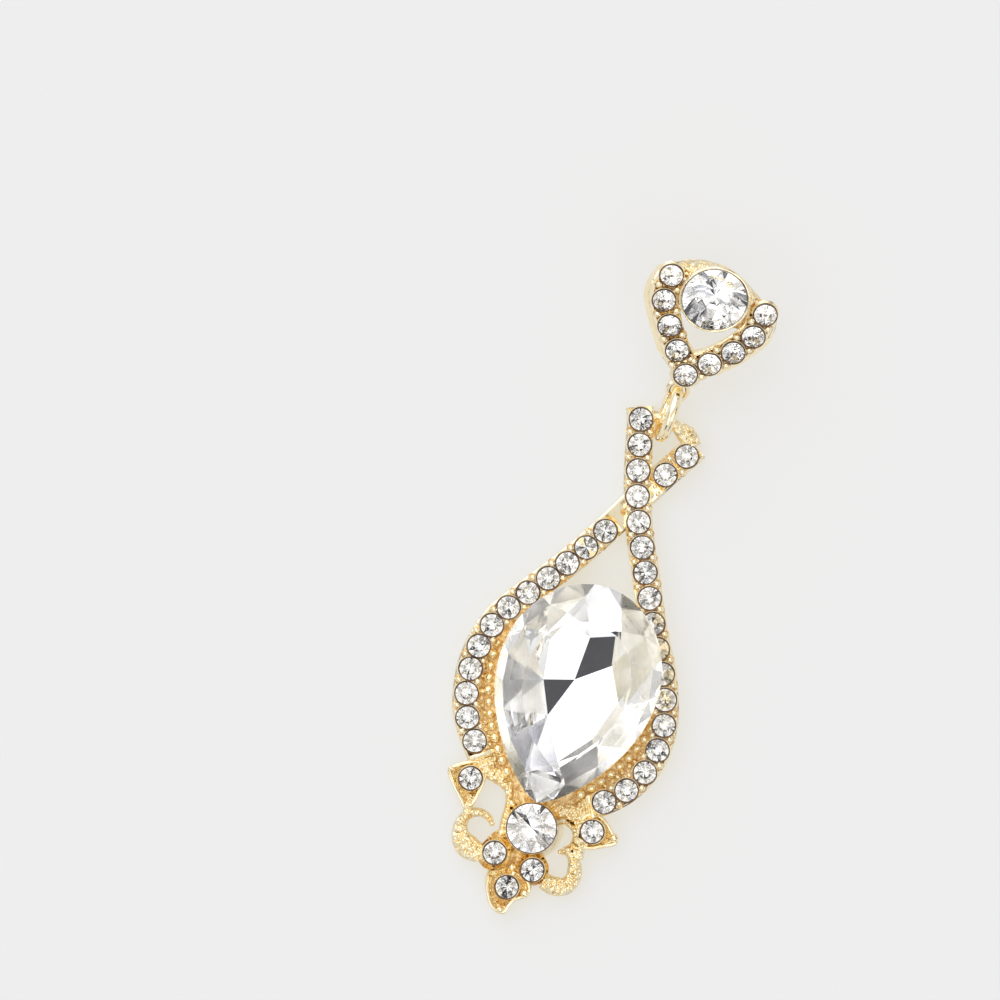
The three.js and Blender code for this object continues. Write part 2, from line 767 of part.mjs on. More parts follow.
const drop = new THREE.Group();
addPiece(drop, 'drop_frame', dropFrame(), gold);
addPiece(drop, 'pear_stone', pearStone(), crystal);
addPiece(drop, 'round_stone', roundCut(roundStone, largeSides), crystal, 0, 0, cupHeight - girdle);
addStones(drop, 'over_stone', overPlaces, seatLevel);
addStones(drop, 'under_stone', underPlaces, seatLevel);
addStones(drop, 'leaf_stone', leafPlaces, seatLevel);
addPiece(drop, 'jump_ring', jumpRing(), gold, ringPlace.x, ringPlace.y, ringPlace.z);

const lean = studLean();
const stud = new THREE.Group();
stud.position.copy(ringPlace).add(new THREE.Vector3(
  ringRadius * Math.sin(lean) * Math.sin(radians(ringTilt)),
  ringRadius * Math.cos(lean),
  ringRadius * Math.sin(lean) * Math.cos(radians(ringTilt)),
));
stud.rotation.set(lean, radians(ringTilt), radians(studTurn), 'ZXY');
addPiece(stud, 'stud_frame', studFrame(), gold);
addPiece(stud, 'stud_stone', roundCut(studStone, largeSides), crystal,
  studCup.x, studCup.y, studBack + studCupHeight);
addStones(stud, 'stud_small', studPlaces, studSeatLevel);
addPiece(stud, 'ear_post', earPost(), gold, postPlace.x, postPlace.y, studBack - postGap);

// The frame's origin is the middle of the footprint, on the surface.
const earring = new THREE.Group();
earring.add(drop, stud);
earring.updateMatrixWorld(true);
const bounds = new THREE.Box3().setFromObject(earring, true);
const middle = bounds.getCenter(new THREE.Vector3());
earring.position.set(-middle.x, -middle.y, -bounds.min.z);

const part = new THREE.Group();
part.add(earring);
part.updateMatrixWorld(true);

export default part;
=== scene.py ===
import math

import bpy
import numpy as np
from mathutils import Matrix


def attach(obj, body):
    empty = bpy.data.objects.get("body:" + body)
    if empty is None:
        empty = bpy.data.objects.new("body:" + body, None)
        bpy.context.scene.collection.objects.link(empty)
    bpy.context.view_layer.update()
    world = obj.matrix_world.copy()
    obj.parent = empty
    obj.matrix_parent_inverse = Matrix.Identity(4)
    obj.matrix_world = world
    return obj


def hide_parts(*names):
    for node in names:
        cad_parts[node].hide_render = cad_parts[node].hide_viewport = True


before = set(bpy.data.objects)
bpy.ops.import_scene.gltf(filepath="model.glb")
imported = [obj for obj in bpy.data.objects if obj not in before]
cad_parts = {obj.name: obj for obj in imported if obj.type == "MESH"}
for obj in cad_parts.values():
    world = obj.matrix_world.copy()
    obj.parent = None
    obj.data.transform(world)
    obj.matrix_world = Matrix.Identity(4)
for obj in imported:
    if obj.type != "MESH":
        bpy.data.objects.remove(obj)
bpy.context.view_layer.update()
mm = 0.001
scene = bpy.context.scene
rng = np.random.default_rng(7)
print("frame loaded:", len(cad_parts), "nodes")


# Lines and shells. Everything is worked out in millimetres and put into metres at the end.

def unit(vectors):
    return vectors / np.linalg.norm(vectors, axis=-1, keepdims=True)


def lengthAlong(line):
    return np.concatenate([[0], np.cumsum(np.linalg.norm(np.diff(line, axis=0), axis=1))])


def pointsAt(line, walked, at):
    return np.stack([np.interp(at, walked, column) for column in line.T], axis=1)


# Smooth line through a few points, as count points at even distances. Each stretch is a cubic
# whose end slopes weigh the neighbouring points by the root of their distance.
def smoothLine(points, count):
    p = np.asarray(points, float)
    p = np.vstack([2 * p[0] - p[1], p, 2 * p[-1] - p[-2]])
    gap = np.sqrt(np.linalg.norm(np.diff(p, axis=0), axis=1))[:, None]
    g0, g1, g2 = gap[:-2], gap[1:-1], gap[2:]
    a, b, c, d = p[:-3], p[1:-2], p[2:-1], p[3:]
    slopeB = ((b - a) / g0 - (c - a) / (g0 + g1) + (c - b) / g1) * g1
    slopeC = ((c - b) / g1 - (d - b) / (g1 + g2) + (d - c) / g2) * g1
    t = np.linspace(0, 1, 60, endpoint=False)[None, :, None]
    dense = ((2 * t**3 - 3 * t**2 + 1) * b[:, None] + (t**3 - 2 * t**2 + t) * slopeB[:, None]
             + (3 * t**2 - 2 * t**3) * c[:, None] + (t**3 - t**2) * slopeC[:, None])
    dense = np.vstack([dense.reshape(-1, p.shape[1]), p[-2]])
    walked = lengthAlong(dense)
    return pointsAt(dense, walked, np.linspace(0, 1, count) * walked[-1])


# The same around a closed outline: its ends overlap, and one round is cut out of the line.
def smoothRing(points, count):
    p = np.asarray(points, float)
    n = len(p)
    line = smoothLine(np.vstack([p[-3:], p, p[:3]]), 40 * (n + 6))
    walked = lengthAlong(line)
    first = walked[np.linalg.norm(line[:len(line) // 2] - p[0], axis=1).argmin()]
    again = walked[len(line) // 2 + np.linalg.norm(line[len(line) // 2:] - p[0], axis=1).argmin()]
    return pointsAt(line, walked, np.linspace(first, again, count, endpoint=False))


# Turns a shell's faces over where its volume comes out negative.
def outward(points, faces):
    a, b, c = points[faces[:, 0]], points[faces[:, 1]], points[faces[:, 2]]
    volume = np.einsum("ij,ij->", a, np.cross(b, c))
    return points, faces if volume > 0 else faces[:, ::-1]


# Closed skin over rows of points, rows x around x 3. The ends get fans around their middles;
# a looped one joins its last row to its first.
def skin(rows, looped=False):
    count, around = rows.shape[:2]
    row = np.arange(count if looped else count - 1)[:, None]
    here = np.arange(around)[None, :]
    after = (here + 1) % around
    below = (row + 1) % count
    a, b = row * around + here, row * around + after
    c, d = below * around + after, below * around + here
    faces = np.concatenate([np.stack([a, b, c], -1).reshape(-1, 3),
                            np.stack([a, c, d], -1).reshape(-1, 3)])
    points = rows.reshape(-1, 3)
    if not looped:
        s = np.arange(around)
        n = (s + 1) % around
        last = (count - 1) * around
        top = np.full(around, len(points))
        points = np.vstack([points, rows[0].mean(axis=0), rows[-1].mean(axis=0)])
        faces = np.concatenate([faces, np.stack([top, n, s], -1),
                                np.stack([top + 1, last + s, last + n], -1)])
    return outward(points, faces)


# Carries an outline along a path: outline is rows x points x 2, to the right and upwards.
def carry(path, outline):
    side = unit(np.cross(np.gradient(path, axis=0), [0, 0, 1]))
    return path[:, None] + outline[..., :1] * side[:, None] + outline[..., 1:] * [0, 0, 1]


# Corners of a circle, count x 2.
def roundSection(radius, count):
    angle = np.arange(count) * 2 * np.pi / count
    return np.stack([radius * np.cos(angle), radius * np.sin(angle)], -1)


def rod(line, radius, around=18):
    return skin(carry(line, np.broadcast_to(roundSection(radius, around), (len(line), around, 2))))


# Rows of a profile of radius and height at each step around an upright line, steps x profile x 3.
def turnedRows(profile, steps):
    profile = np.asarray(profile, float)
    wide = roundSection(1.0, steps)[:, None] * profile[None, :, :1]
    return np.concatenate([wide, np.broadcast_to(profile[:, 1:], (*wide.shape[:2], 1))], axis=2)


# Turns a closed profile around: a ring.
def turned(profile, steps):
    return skin(turnedRows(profile, steps), looped=True)


# Turns an open profile around, from the solid's lowest to its highest point.
def lathed(profile, steps):
    return skin(turnedRows(profile, steps).transpose(1, 0, 2))


# Copies of one shell at many places, each with its own size and, if given, its own turn.
def repeated(shell, places, sizes=1.0, turns=None):
    points, faces = shell
    sizes = np.broadcast_to(np.asarray(sizes, float).reshape(-1, 1, 1), (len(places), 1, 1))
    copies = np.broadcast_to(points, (len(places),) + points.shape)
    if turns is not None:
        copies = np.einsum("kij,kpj->kpi", turns, copies)
    copies = copies * sizes + np.asarray(places)[:, None]
    offsets = np.arange(len(places))[:, None, None] * len(points)
    return copies.reshape(-1, 3), (faces[None] + offsets).reshape(-1, 3)


def joined(shells):
    points = np.vstack([shell[0] for shell in shells])
    starts = np.cumsum([0] + [len(shell[0]) for shell in shells[:-1]])
    faces = np.vstack([shell[1] + start for shell, start in zip(shells, starts)])
    return points, faces


# Ball of rings: latitude rows from pole to pole, flattened by squash.
def ball(diameter=1.0, squash=1.0, around=9, rings=5):
    latitude = (np.arange(rings) + 0.5) / rings * np.pi - np.pi / 2
    profile = np.stack([np.cos(latitude), np.sin(latitude) * squash], -1) * diameter / 2
    points, faces = lathed(profile, around)
    points[-2:, 2] = np.array([-1, 1]) * diameter / 2 * squash
    return points, faces


# Closed slab between two lines of equal count, as a box-shaped tube along them.
def slabBetween(left, right, low, high):
    corners = [(left, low), (right, low), (right, high), (left, high)]
    rows = np.stack([np.column_stack([line[:, :2], np.full(len(line), level)])
                     for line, level in corners], axis=1)
    return skin(rows)


# Makes one piece from shells. Each shell is (points, faces) with the name of the finish it
# wears; place is the turn and shift from the shell's own frame to the row frame.
def makePiece(name, shells, nodes, slotName, place=None, sharp=38.0):
    points, faces = joined([shell for shell, _ in shells])
    finishes = list(dict.fromkeys(finish for _, finish in shells))
    worn = np.concatenate([np.full(len(shell[1]), finishes.index(finish))
                           for shell, finish in shells])
    if place is not None:
        points = points @ place[0].T + place[1]
    mesh = bpy.data.meshes.new(name)
    mesh.from_pydata(points * mm, [], faces)
    for finish in finishes:
        mesh.materials.append(looks[finish])
    mesh.polygons.foreach_set("material_index", worn.astype(np.int32))
    mesh.polygons.foreach_set("use_smooth", np.full(len(faces), sharp > 0))
    if sharp > 0:
        mesh.set_sharp_from_angle(angle=math.radians(sharp))
    mesh.update()
    piece = bpy.data.objects.new(name, mesh)
    scene.collection.objects.link(piece)
    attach(piece, "root")
    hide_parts(*nodes)
    return piece


# Shader building.

def newGroup(name, inputs, outputs):
    group = bpy.data.node_groups.new(name, "ShaderNodeTree")
    for label, kind, value in inputs:
        socket = group.interface.new_socket(name=label, in_out="INPUT", socket_type=kind)
        if value is not None:
            socket.default_value = value
    for label, kind in outputs:
        group.interface.new_socket(name=label, in_out="OUTPUT", socket_type=kind)
    return group, group.nodes.new("NodeGroupInput"), group.nodes.new("NodeGroupOutput")


def addNode(tree, kind, values=None, **settings):
    node = tree.nodes.new(kind)
    for key, value in settings.items():
        setattr(node, key, value)
    for key, value in (values or {}).items():
        node.inputs[key].default_value = value
    return node


def addMath(tree, operation, first, second=None, clamp=False):
    node = addNode(tree, "ShaderNodeMath", operation=operation, use_clamp=clamp)
    for index, value in enumerate((first, second)):
        if isinstance(value, bpy.types.NodeSocket):
            tree.links.new(value, node.inputs[index])
        elif value is not None:
            node.inputs[index].default_value = value
    return node.outputs[0]


# A material, its nodes and its shader with the values set.
def newFinish(name, values):
    material = bpy.data.materials.new(name)
    material.use_nodes = True
    tree = material.node_tree
    shader = tree.nodes["Principled BSDF"]
    for key, value in values.items():
        shader.inputs[key].default_value = value
    return material, tree, shader


# The shader's colour, between two tones by a factor.
def colourBetween(tree, shader, factor, first, second):
    tone = addNode(tree, "ShaderNodeMix", data_type="RGBA")
    tone.inputs["A"].default_value = (*first, 1.0)
    tone.inputs["B"].default_value = (*second, 1.0)
    tree.links.new(factor, tone.inputs["Factor"])
    tree.links.new(tone.outputs["Result"], shader.inputs["Base Color"])


# Cast skin: fine lumps, and shallow pits away from the middles of a cell pattern. Its shade
# output marks the low places for painted shade, more strongly where a slow noise runs high.
def buildCastSkin():
    group, given, made = newGroup("castSkin", [
        ("Vector", "NodeSocketVector", None), ("Lumps", "NodeSocketFloat", 3000.0),
        ("Pits", "NodeSocketFloat", 0.4), ("Drift", "NodeSocketFloat", 250.0)],
        [("Height", "NodeSocketFloat"), ("PaintedShade", "NodeSocketFloat"), ("Polish", "NodeSocketFloat")])
    lumps = addNode(group, "ShaderNodeTexNoise", {"Detail": 3.0, "Roughness": 0.6})
    cells = addNode(group, "ShaderNodeTexVoronoi", feature="SMOOTH_F1")
    drift = addNode(group, "ShaderNodeTexNoise", {"Detail": 2.0})
    for node, scale in ((lumps, "Lumps"), (cells, "Lumps"), (drift, "Drift")):
        group.links.new(given.outputs["Vector"], node.inputs["Vector"])
        group.links.new(given.outputs[scale], node.inputs["Scale"])
    pits = addMath(group, "MULTIPLY", cells.outputs["Distance"], given.outputs["Pits"])
    height = addMath(group, "SUBTRACT", lumps.outputs["Fac"], pits)
    group.links.new(height, made.inputs["Height"])
    # Painted shade: the lower the skin, the more its colour darkens.
    low = addNode(group, "ShaderNodeMapRange", {"From Min": 0.42, "From Max": 0.02})
    group.links.new(height, low.inputs["Value"])
    shadeAmount = addMath(group, "MULTIPLY", addMath(group, "ADD", drift.outputs["Fac"], 0.4),
                      low.outputs["Result"], clamp=True)
    group.links.new(shadeAmount, made.inputs["PaintedShade"])
    group.links.new(addMath(group, "MULTIPLY", lumps.outputs["Fac"], drift.outputs["Fac"]),
                    made.inputs["Polish"])
    return group


castSkin = buildCastSkin()

# Gold plating: each finish's pale tone and its darker tone of painted shade for low places,
# roughness from polished to dull, and relief in mm.
goldFinishes = {
    "polishedGold": {"pale": (1.0, 0.89, 0.64), "lowShade": (0.95, 0.77, 0.46), "smooth": 0.06,
                     "dull": 0.2, "lumps": 1300.0, "pits": 0.35, "drift": 260.0, "relief": 0.05},
    "castGold": {"pale": (1.0, 0.91, 0.67), "lowShade": (0.93, 0.74, 0.42), "smooth": 0.06,
                 "dull": 0.2, "lumps": 1900.0, "pits": 0.7, "drift": 420.0, "relief": 0.32},
    # Dark gold for recess floors and patches: painted shade where shade falls between parts.
    "recessShadeGold": {"pale": (0.97, 0.78, 0.46), "lowShade": (0.56, 0.32, 0.12), "smooth": 0.12,
                 "dull": 0.36, "lumps": 3300.0, "pits": 0.75, "drift": 500.0, "relief": 0.2},
    "seatShadow": {"pale": (0.2, 0.125, 0.075), "lowShade": (0.05, 0.032, 0.02), "smooth": 0.3,
                   "dull": 0.5, "lumps": 3000.0, "pits": 0.3, "drift": 900.0, "relief": 0.01},
}


def buildGold(name, look):
    material, tree, shader = newFinish(name, {"Metallic": 1.0})
    where = addNode(tree, "ShaderNodeTexCoord")
    effect = addNode(tree, "ShaderNodeGroup", node_tree=castSkin)
    tree.links.new(where.outputs["Object"], effect.inputs["Vector"])
    for key in ("Lumps", "Pits", "Drift"):
        effect.inputs[key].default_value = look[key.lower()]
    # The colour darkens towards the skin's low places: painted shade.
    colourBetween(tree, shader, effect.outputs["PaintedShade"], look["pale"], look["lowShade"])
    polish = addNode(tree, "ShaderNodeMapRange", {
        "From Min": 0.1, "From Max": 0.4, "To Min": look["smooth"], "To Max": look["dull"]})
    tree.links.new(effect.outputs["Polish"], polish.inputs["Value"])
    tree.links.new(polish.outputs["Result"], shader.inputs["Roughness"])
    bump = addNode(tree, "ShaderNodeBump", {"Strength": 1.0, "Distance": look["relief"] * mm})
    tree.links.new(effect.outputs["Height"], bump.inputs["Height"])
    tree.links.new(bump.outputs["Normal"], shader.inputs["Normal"])
    return material


# Crystal: clear glass above the girdle, foil on the back of each facet below it.
crystalLook = {"index": 1.56, "clear": (1.0, 1.0, 1.0), "cloudy": (0.97, 0.97, 0.9603),
               "cloudScale": 180.0}
# Each foil's colour and how rough it is; the rough ones even out what a facet mirrors.
# The dark, grey, lilac, violet, sand and brown foils are painted reflections: dark and grey stand for
# dim surroundings mirrored in a facet, lilac and violet for coloured flashes, sand and brown for warm
# gold mirrored in it.
foils = {
    "brightFoil": ((0.97, 0.97, 0.97), 0.02),
    "paleFoil": ((0.97, 0.96, 0.94), 0.18),
    "creamFoil": ((0.93, 0.90, 0.83), 0.2),
    "greyFoil": ((0.55, 0.55, 0.56), 0.12),
    "darkFoil": ((0.045, 0.045, 0.05), 0.05),
    "lilacFoil": ((0.78, 0.79, 0.87), 0.15),
    "violetFoil": ((0.42, 0.42, 0.97), 0.1),
    "sandFoil": ((0.84, 0.82, 0.73), 0.16),
    "brownFoil": ((0.30, 0.22, 0.16), 0.15),
}


def buildGlass():
    material, tree, shader = newFinish("cutCrystal", {
        "Transmission Weight": 1.0, "IOR": crystalLook["index"], "Roughness": 0.0})
    where = addNode(tree, "ShaderNodeTexCoord")
    cloud = addNode(tree, "ShaderNodeTexNoise", {"Scale": crystalLook["cloudScale"]})
    tree.links.new(where.outputs["Object"], cloud.inputs["Vector"])
    colourBetween(tree, shader, cloud.outputs["Fac"], crystalLook["clear"], crystalLook["cloudy"])
    return material


# Foil specks: the crests of a fine noise, as a mask from none to full.
def buildFoilSpecks():
    group, given, made = newGroup("foilSpecks", [
        ("Vector", "NodeSocketVector", None), ("Scale", "NodeSocketFloat", 2600.0),
        ("From", "NodeSocketFloat", 0.62)], [("Mask", "NodeSocketFloat")])
    noise = addNode(group, "ShaderNodeTexNoise", {"Detail": 4.0})
    group.links.new(given.outputs["Vector"], noise.inputs["Vector"])
    group.links.new(given.outputs["Scale"], noise.inputs["Scale"])
    above = addMath(group, "SUBTRACT", noise.outputs["Fac"], given.outputs["From"])
    group.links.new(addMath(group, "MULTIPLY", above, 5.5, clamp=True), made.inputs["Mask"])
    return group


foilSpecks = buildFoilSpecks()


def buildFoil(name, colour, roughness):
    material, tree, shader = newFinish(name, {"Metallic": 1.0, "Roughness": roughness})
    where = addNode(tree, "ShaderNodeTexCoord")
    specks = addNode(tree, "ShaderNodeGroup", node_tree=foilSpecks)
    tree.links.new(where.outputs["Object"], specks.inputs["Vector"])
    colourBetween(tree, shader, specks.outputs["Mask"], colour,
                  [min(1.0, part * 1.25 + 0.06) for part in colour])
    return material


looks = {name: buildGold(name, look) for name, look in goldFinishes.items()}
looks["cutCrystal"] = buildGlass()
looks.update({name: buildFoil(name, *look) for name, look in foils.items()})
print("finishes built:", len(bpy.data.materials))


# The CAD stones say where everything sits. Times flat, a place drops onto the floor.

flat = np.array([1, 1, 0])

def nodePoints(name):
    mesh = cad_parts[name].data
    places = np.empty(len(mesh.vertices) * 3)
    mesh.vertices.foreach_get("co", places)
    return np.unique(np.round(places.reshape(-1, 3) / mm, 4), axis=0)


def namesOf(prefix):
    return sorted(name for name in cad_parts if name.startswith(prefix))


# A stone is thinnest along its axis, and its girdle is its depth above its lowest point.
def stoneSeat(name, depth):
    points = nodePoints(name)
    middle = points.mean(axis=0)
    axis = np.linalg.svd(points - middle, full_matrices=False)[2][2]
    axis = axis * np.sign(axis[2])
    lowest = ((points - middle) @ axis).min()
    return middle + axis * (lowest + depth), axis


stones = {
    "small": {"diameter": 1.8, "table": 0.58, "crown": 0.17, "pavilion": 0.4, "lower": 0.42,
              "foils": {"brightFoil": 0.4, "paleFoil": 0.37, "creamFoil": 0.09, "greyFoil": 0.08,
                        "darkFoil": 0.06}},
    "round": {"diameter": 3.9, "table": 0.55, "crown": 0.17, "pavilion": 0.4, "lower": 0.42,
              "foils": {"brightFoil": 0.42, "paleFoil": 0.3, "greyFoil": 0.12, "darkFoil": 0.08,
                       "lilacFoil": 0.08}},
    "stud": {"diameter": 5.1, "table": 0.55, "crown": 0.17, "pavilion": 0.4, "lower": 0.42,
             "foils": {"brightFoil": 0.4, "paleFoil": 0.28, "greyFoil": 0.14, "darkFoil": 0.1,
                       "lilacFoil": 0.08}},
    "girdle": 0.12,
}
smallSize = stones["small"]["diameter"]
smallDepth = smallSize * stones["small"]["pavilion"]
smallSeats = {name: stoneSeat(name, smallDepth) for prefix in
              ("over_stone", "under_stone", "leaf_stone", "stud_small") for name in namesOf(prefix)}
roundSeat = stoneSeat("round_stone", stones["round"]["diameter"] * stones["round"]["pavilion"])
studSeat = stoneSeat("stud_stone", stones["stud"]["diameter"] * stones["stud"]["pavilion"])
dropPlace = (np.eye(3), roundSeat[0] * flat)


def dropSeats(prefix):
    return np.array([smallSeats[name][0] for name in namesOf(prefix)]) - dropPlace[1]


# The stud in its own frame. Places on the arms and the arch are shares of spread and rise.
studPlan = {
    "spread": 8.2, "rise": 7.55, "thickness": 1.5, "floor": 0.9, "tip": (-0.05, 1.92),
    "cup": (-0.36, 7.2), "cupHeight": 2.6, "plate": 0.5, "cupTaper": 0.85, "cupLip": 0.24,
    "armFace": 1.94, "armFoot": 2.5, "armInwards": 0.22, "armHeight": 1.35,
    "armAside": 0.2, "armFlare": 0.55, "rimDraft": -0.3,
    "eyeletBore": 1.2, "eyeletWall": 0.38, "eyeletThickness": 0.7, "rimHeight": 0.16,
    "rimDepth": 0.9, "groove": 0.72, "beadRise": 0.04, "stoneTurn": 0.9,
    "leftArm": [(0, 0), (-0.366, 0.242), (-0.683, 0.477), (-0.966, 0.735), (-1, 1)],
    "rightArm": [(0, 0), (0.366, 0.212), (0.707, 0.434), (0.939, 0.679), (0.976, 0.936)],
    "arch": [(-0.93, 1.0), (-0.66, 1.09), (-0.29, 1.14), (0.14, 1.12), (0.45, 1.04), (0.88, 0.91)],
    "archFace": 0.6, "archFoot": 1.1, "archLow": 0.6,
    # Beads on the arch's face, on its left half and along its outer edge: their count, spread and
    # size, and their height over the face.
    "archBeads": [(26, 0.18, 0.42, 0.0), (20, 0.42, 0.38, -0.05), (44, 0.12, 0.4, -0.12)],
}


def onStud(shares):
    shares = np.asarray(shares, float)
    return np.column_stack([shares[:, 0] * studPlan["spread"] / 2 + studPlan["tip"][0],
                            shares[:, 1] * studPlan["rise"] + studPlan["tip"][1],
                            np.zeros(len(shares))])


studBack = -studPlan["eyeletThickness"] / 2
studFace = studBack + studPlan["thickness"]
leftArm = onStud(studPlan["leftArm"])
rightArm = onStud(studPlan["rightArm"])
studLevel = studFace + studPlan["rimHeight"] - stones["girdle"]
studStones = np.vstack([smoothLine(leftArm, 5), smoothLine(rightArm, 5)[1:]]) + [0, 0, studLevel]
studCup = np.array([*np.add(studPlan["tip"], studPlan["cup"]), 0.0])


# The turn and shift that carry the stud's own stones onto the CAD's.
def fitPlace(own, placed):
    ownMiddle, placedMiddle = own.mean(axis=0), placed.mean(axis=0)
    u, _, v = np.linalg.svd((own - ownMiddle).T @ (placed - placedMiddle))
    flip = np.diag([1, 1, np.sign(np.linalg.det(u @ v))])
    turn = (u @ flip @ v).T
    return turn, placedMiddle - turn @ ownMiddle


placedStones = np.array([smallSeats[name][0] for name in namesOf("stud_small")] + [studSeat[0]])
ownStones = np.vstack([studStones, studCup + [0, 0, studBack + studPlan["cupHeight"]]])
studPlace = fitPlace(ownStones, placedStones)
missed = np.linalg.norm(ownStones @ studPlace[0].T + studPlace[1] - placedStones, axis=1)
print("stud frame fitted, largest miss in mm:", round(float(missed.max()), 4))


# Drop casting: two strands whose section is carried along smooth lines. Their places are shares
# of half the spread and of the rise, and of the height.
dropPlan = {
    "rise": 34.6, "spread": 16.2, "face": 1.85, "foot": 2.25, "height": 2.0, "bevel": 0.12,
    "web": 1.25, "groove": 0.8, "beadRise": 0.05,
    # Heights of the undersides over the floor, so that no two that overlap share a plane.
    "undersides": {"under": 0.03, "wall": 0.05, "side": 0.08, "cup": 0.04, "ribbon": 0.06,
                   "leaf": 0.02, "web": 0.1},
    "over": [
        (-0.30, 0.995, 1), (-0.254, 0.968, 1), (-0.114, 0.848, 1), (0.063, 0.735, 1),
        (0.295, 0.626, 1), (0.525, 0.518, 1), (0.765, 0.42, 1), (0.92, 0.312, 1),
        (0.905, 0.222, 1), (0.764, 0.151, 1), (0.586, 0.108, 1), (0.47, 0.087, 1)],
    "under": [
        (0.345, 0.948, 1), (0.279, 0.92, 1), (0.142, 0.865, 1), (-0.043, 0.785, 0.6),
        (-0.248, 0.696, 1), (-0.489, 0.602, 1), (-0.741, 0.516, 1), (-0.981, 0.4255, 1),
        (-1.068, 0.317, 1), (-0.975, 0.211, 1), (-0.804, 0.15, 1), (-0.69, 0.118, 1)],
    "bar": [(-0.155, 0.985, 1.45), (0.04, 0.985, 1.74), (0.26, 0.948, 1.6)], "barDiameter": 0.9,
}


def awayFrom(places, seats):
    return np.linalg.norm(places[:, None, :2] - seats[None, :, :2], axis=2).min(axis=1)


def onDrop(shares):
    shares = np.asarray(shares, float)
    return np.column_stack([shares[:, 0] * dropPlan["spread"] / 2, shares[:, 1] * dropPlan["rise"],
                            np.zeros(len(shares))])


# Section of a strand, from its foot up its right side, over its face and down its left side.
# A step runs along each side. groove is the depth of the V that the stones' points sink into.
def bandOutline(count, face, foot, height, bevel, faceAside=0.0, footAside=0.0, groove=0.0):
    height, groove = np.broadcast_to(height, (count,)), np.broadcast_to(groove, (count,))
    faceAside = np.broadcast_to(faceAside, (count,))
    footAside = np.broadcast_to(footAside, (count,))

    def side(hand):
        edge, base = faceAside + hand * face / 2, footAside + hand * foot / 2
        rim = edge - hand * bevel * 0.35
        sunk = groove * np.clip(1 - np.abs(rim) / (smallSize / 2), 0, 1)
        top = height - sunk
        step = base * 0.45 + edge * 0.55
        return [(base, 0 * top), (base, 0.22 * top), (step + hand * 0.06, 0.56 * top),
                (step - hand * 0.05, 0.6 * top), (edge + hand * 0.03, top - bevel),
                (edge - hand * bevel * 0.15, top - bevel * 0.15), (rim, top)]
    corners = side(1) + [(0 * height, height - groove)] + side(-1)[::-1]
    return np.stack([np.stack(np.broadcast_arrays(*corner), -1) for corner in corners], axis=1)


# The groove is there where a stone is near and runs out beyond the last one.
def grooveAlong(line, seats, depth):
    return depth * np.clip((smallSize * 0.62 - awayFrom(line, seats)) / 0.12, 0, 1)


def strand(shares, seats, foot):
    rows = np.asarray(shares, float)
    line = smoothLine(np.column_stack([onDrop(rows)[:, :2], rows[:, 2] * dropPlan["height"]]), 240)
    outline = bandOutline(len(line), dropPlan["face"], dropPlan["foot"], line[:, 2],
                          dropPlan["bevel"], groove=grooveAlong(line, seats, dropPlan["groove"]))
    return skin(carry(line * flat, outline) + [0, 0, foot])


# Wall around a small stone: a closed section turned about the stone's axis, its lip rounded.
# The dark line inside it is painted shade in the gap between the stone and the metal.
seatPlan = {"wall": 0.14, "draft": 0.08, "below": 0.08, "gap": 0.05, "sunk": 0.06,
            "bead": 0.56, "reach": 0.42, "shift": 0.06, "shadePatch": 0.74}


def stoneWall(depth, top, draft):
    inner = smallSize / 2 + seatPlan["gap"]
    outer = smallSize / 2 + seatPlan["wall"]
    top = top - seatPlan["below"]
    profile = [(inner - 0.32, top - 0.5), (outer + draft, top - depth), (outer, top - 0.05),
               (outer - 0.03, top), (inner + 0.02, top), (inner, top - 0.04)]
    return turned(profile, 26)


def gapShadeRing(level):
    radius = smallSize / 2 + seatPlan["gap"] / 2
    half = seatPlan["gap"] / 2 + 0.045
    profile = [(radius - half, level - 0.3), (radius + half, level - 0.3), (radius + half, level),
               (radius - half, level)]
    return turned(profile, 26)


# The dark rings of painted shade sit a little off the middle of the seats, as the stones would, so
# that the gap shows more on one side.
def gapShadeRings(seats, level):
    turn = rng.uniform(3.6, 6.4, len(seats))
    shift = np.column_stack([np.cos(turn), np.sin(turn), 0 * turn]) * seatPlan["shift"]
    return repeated(gapShadeRing(level), seats * flat + shift)


# Each notch between neighbouring stones of a row has a place on either side. A bead stands
# there over a thin dark patch, painted shade around the bead.
def notchPlaces(seats, level):
    step = np.diff(seats, axis=0)
    near = np.linalg.norm(step, axis=1) < smallSize * 1.35
    middle = (seats[:-1] + seats[1:])[near] / 2 * flat
    side = unit(np.cross(step[near], [0, 0, 1])) * smallSize * seatPlan["reach"]
    return np.vstack([middle + side, middle - side]) + [0, 0, level]


def notchBeads(seats, level):
    places = notchPlaces(seats, level)
    places = places + rng.uniform(-0.04, 0.04, places.shape)
    sizes = seatPlan["bead"] * rng.uniform(0.85, 1.12, len(places))
    return repeated(ball(1.0, 0.9), places, sizes)


def notchShadePatches(seats, level):
    return repeated(ball(1.0, 0.12, 14), notchPlaces(seats, level), seatPlan["shadePatch"])


overSeats, underSeats, leafSeats = (dropSeats(prefix) for prefix in
                                    ("over_stone", "under_stone", "leaf_stone"))
overLine = smoothLine(onDrop(np.array(dropPlan["over"])[:, :2]), 200)
underLine = smoothLine(onDrop(np.array(dropPlan["under"])[:, :2]), 200)
girdleLevel = overSeats[:, 2].mean()
rimTop = girdleLevel + stones["girdle"]

strandShells = [
    (strand(dropPlan["over"], overSeats, 0.0), "polishedGold"),
    (strand(dropPlan["under"], underSeats, dropPlan["undersides"]["under"]),
     "polishedGold")]
makePiece("strands", strandShells, ["drop_frame"], "gold", dropPlace, sharp=30)

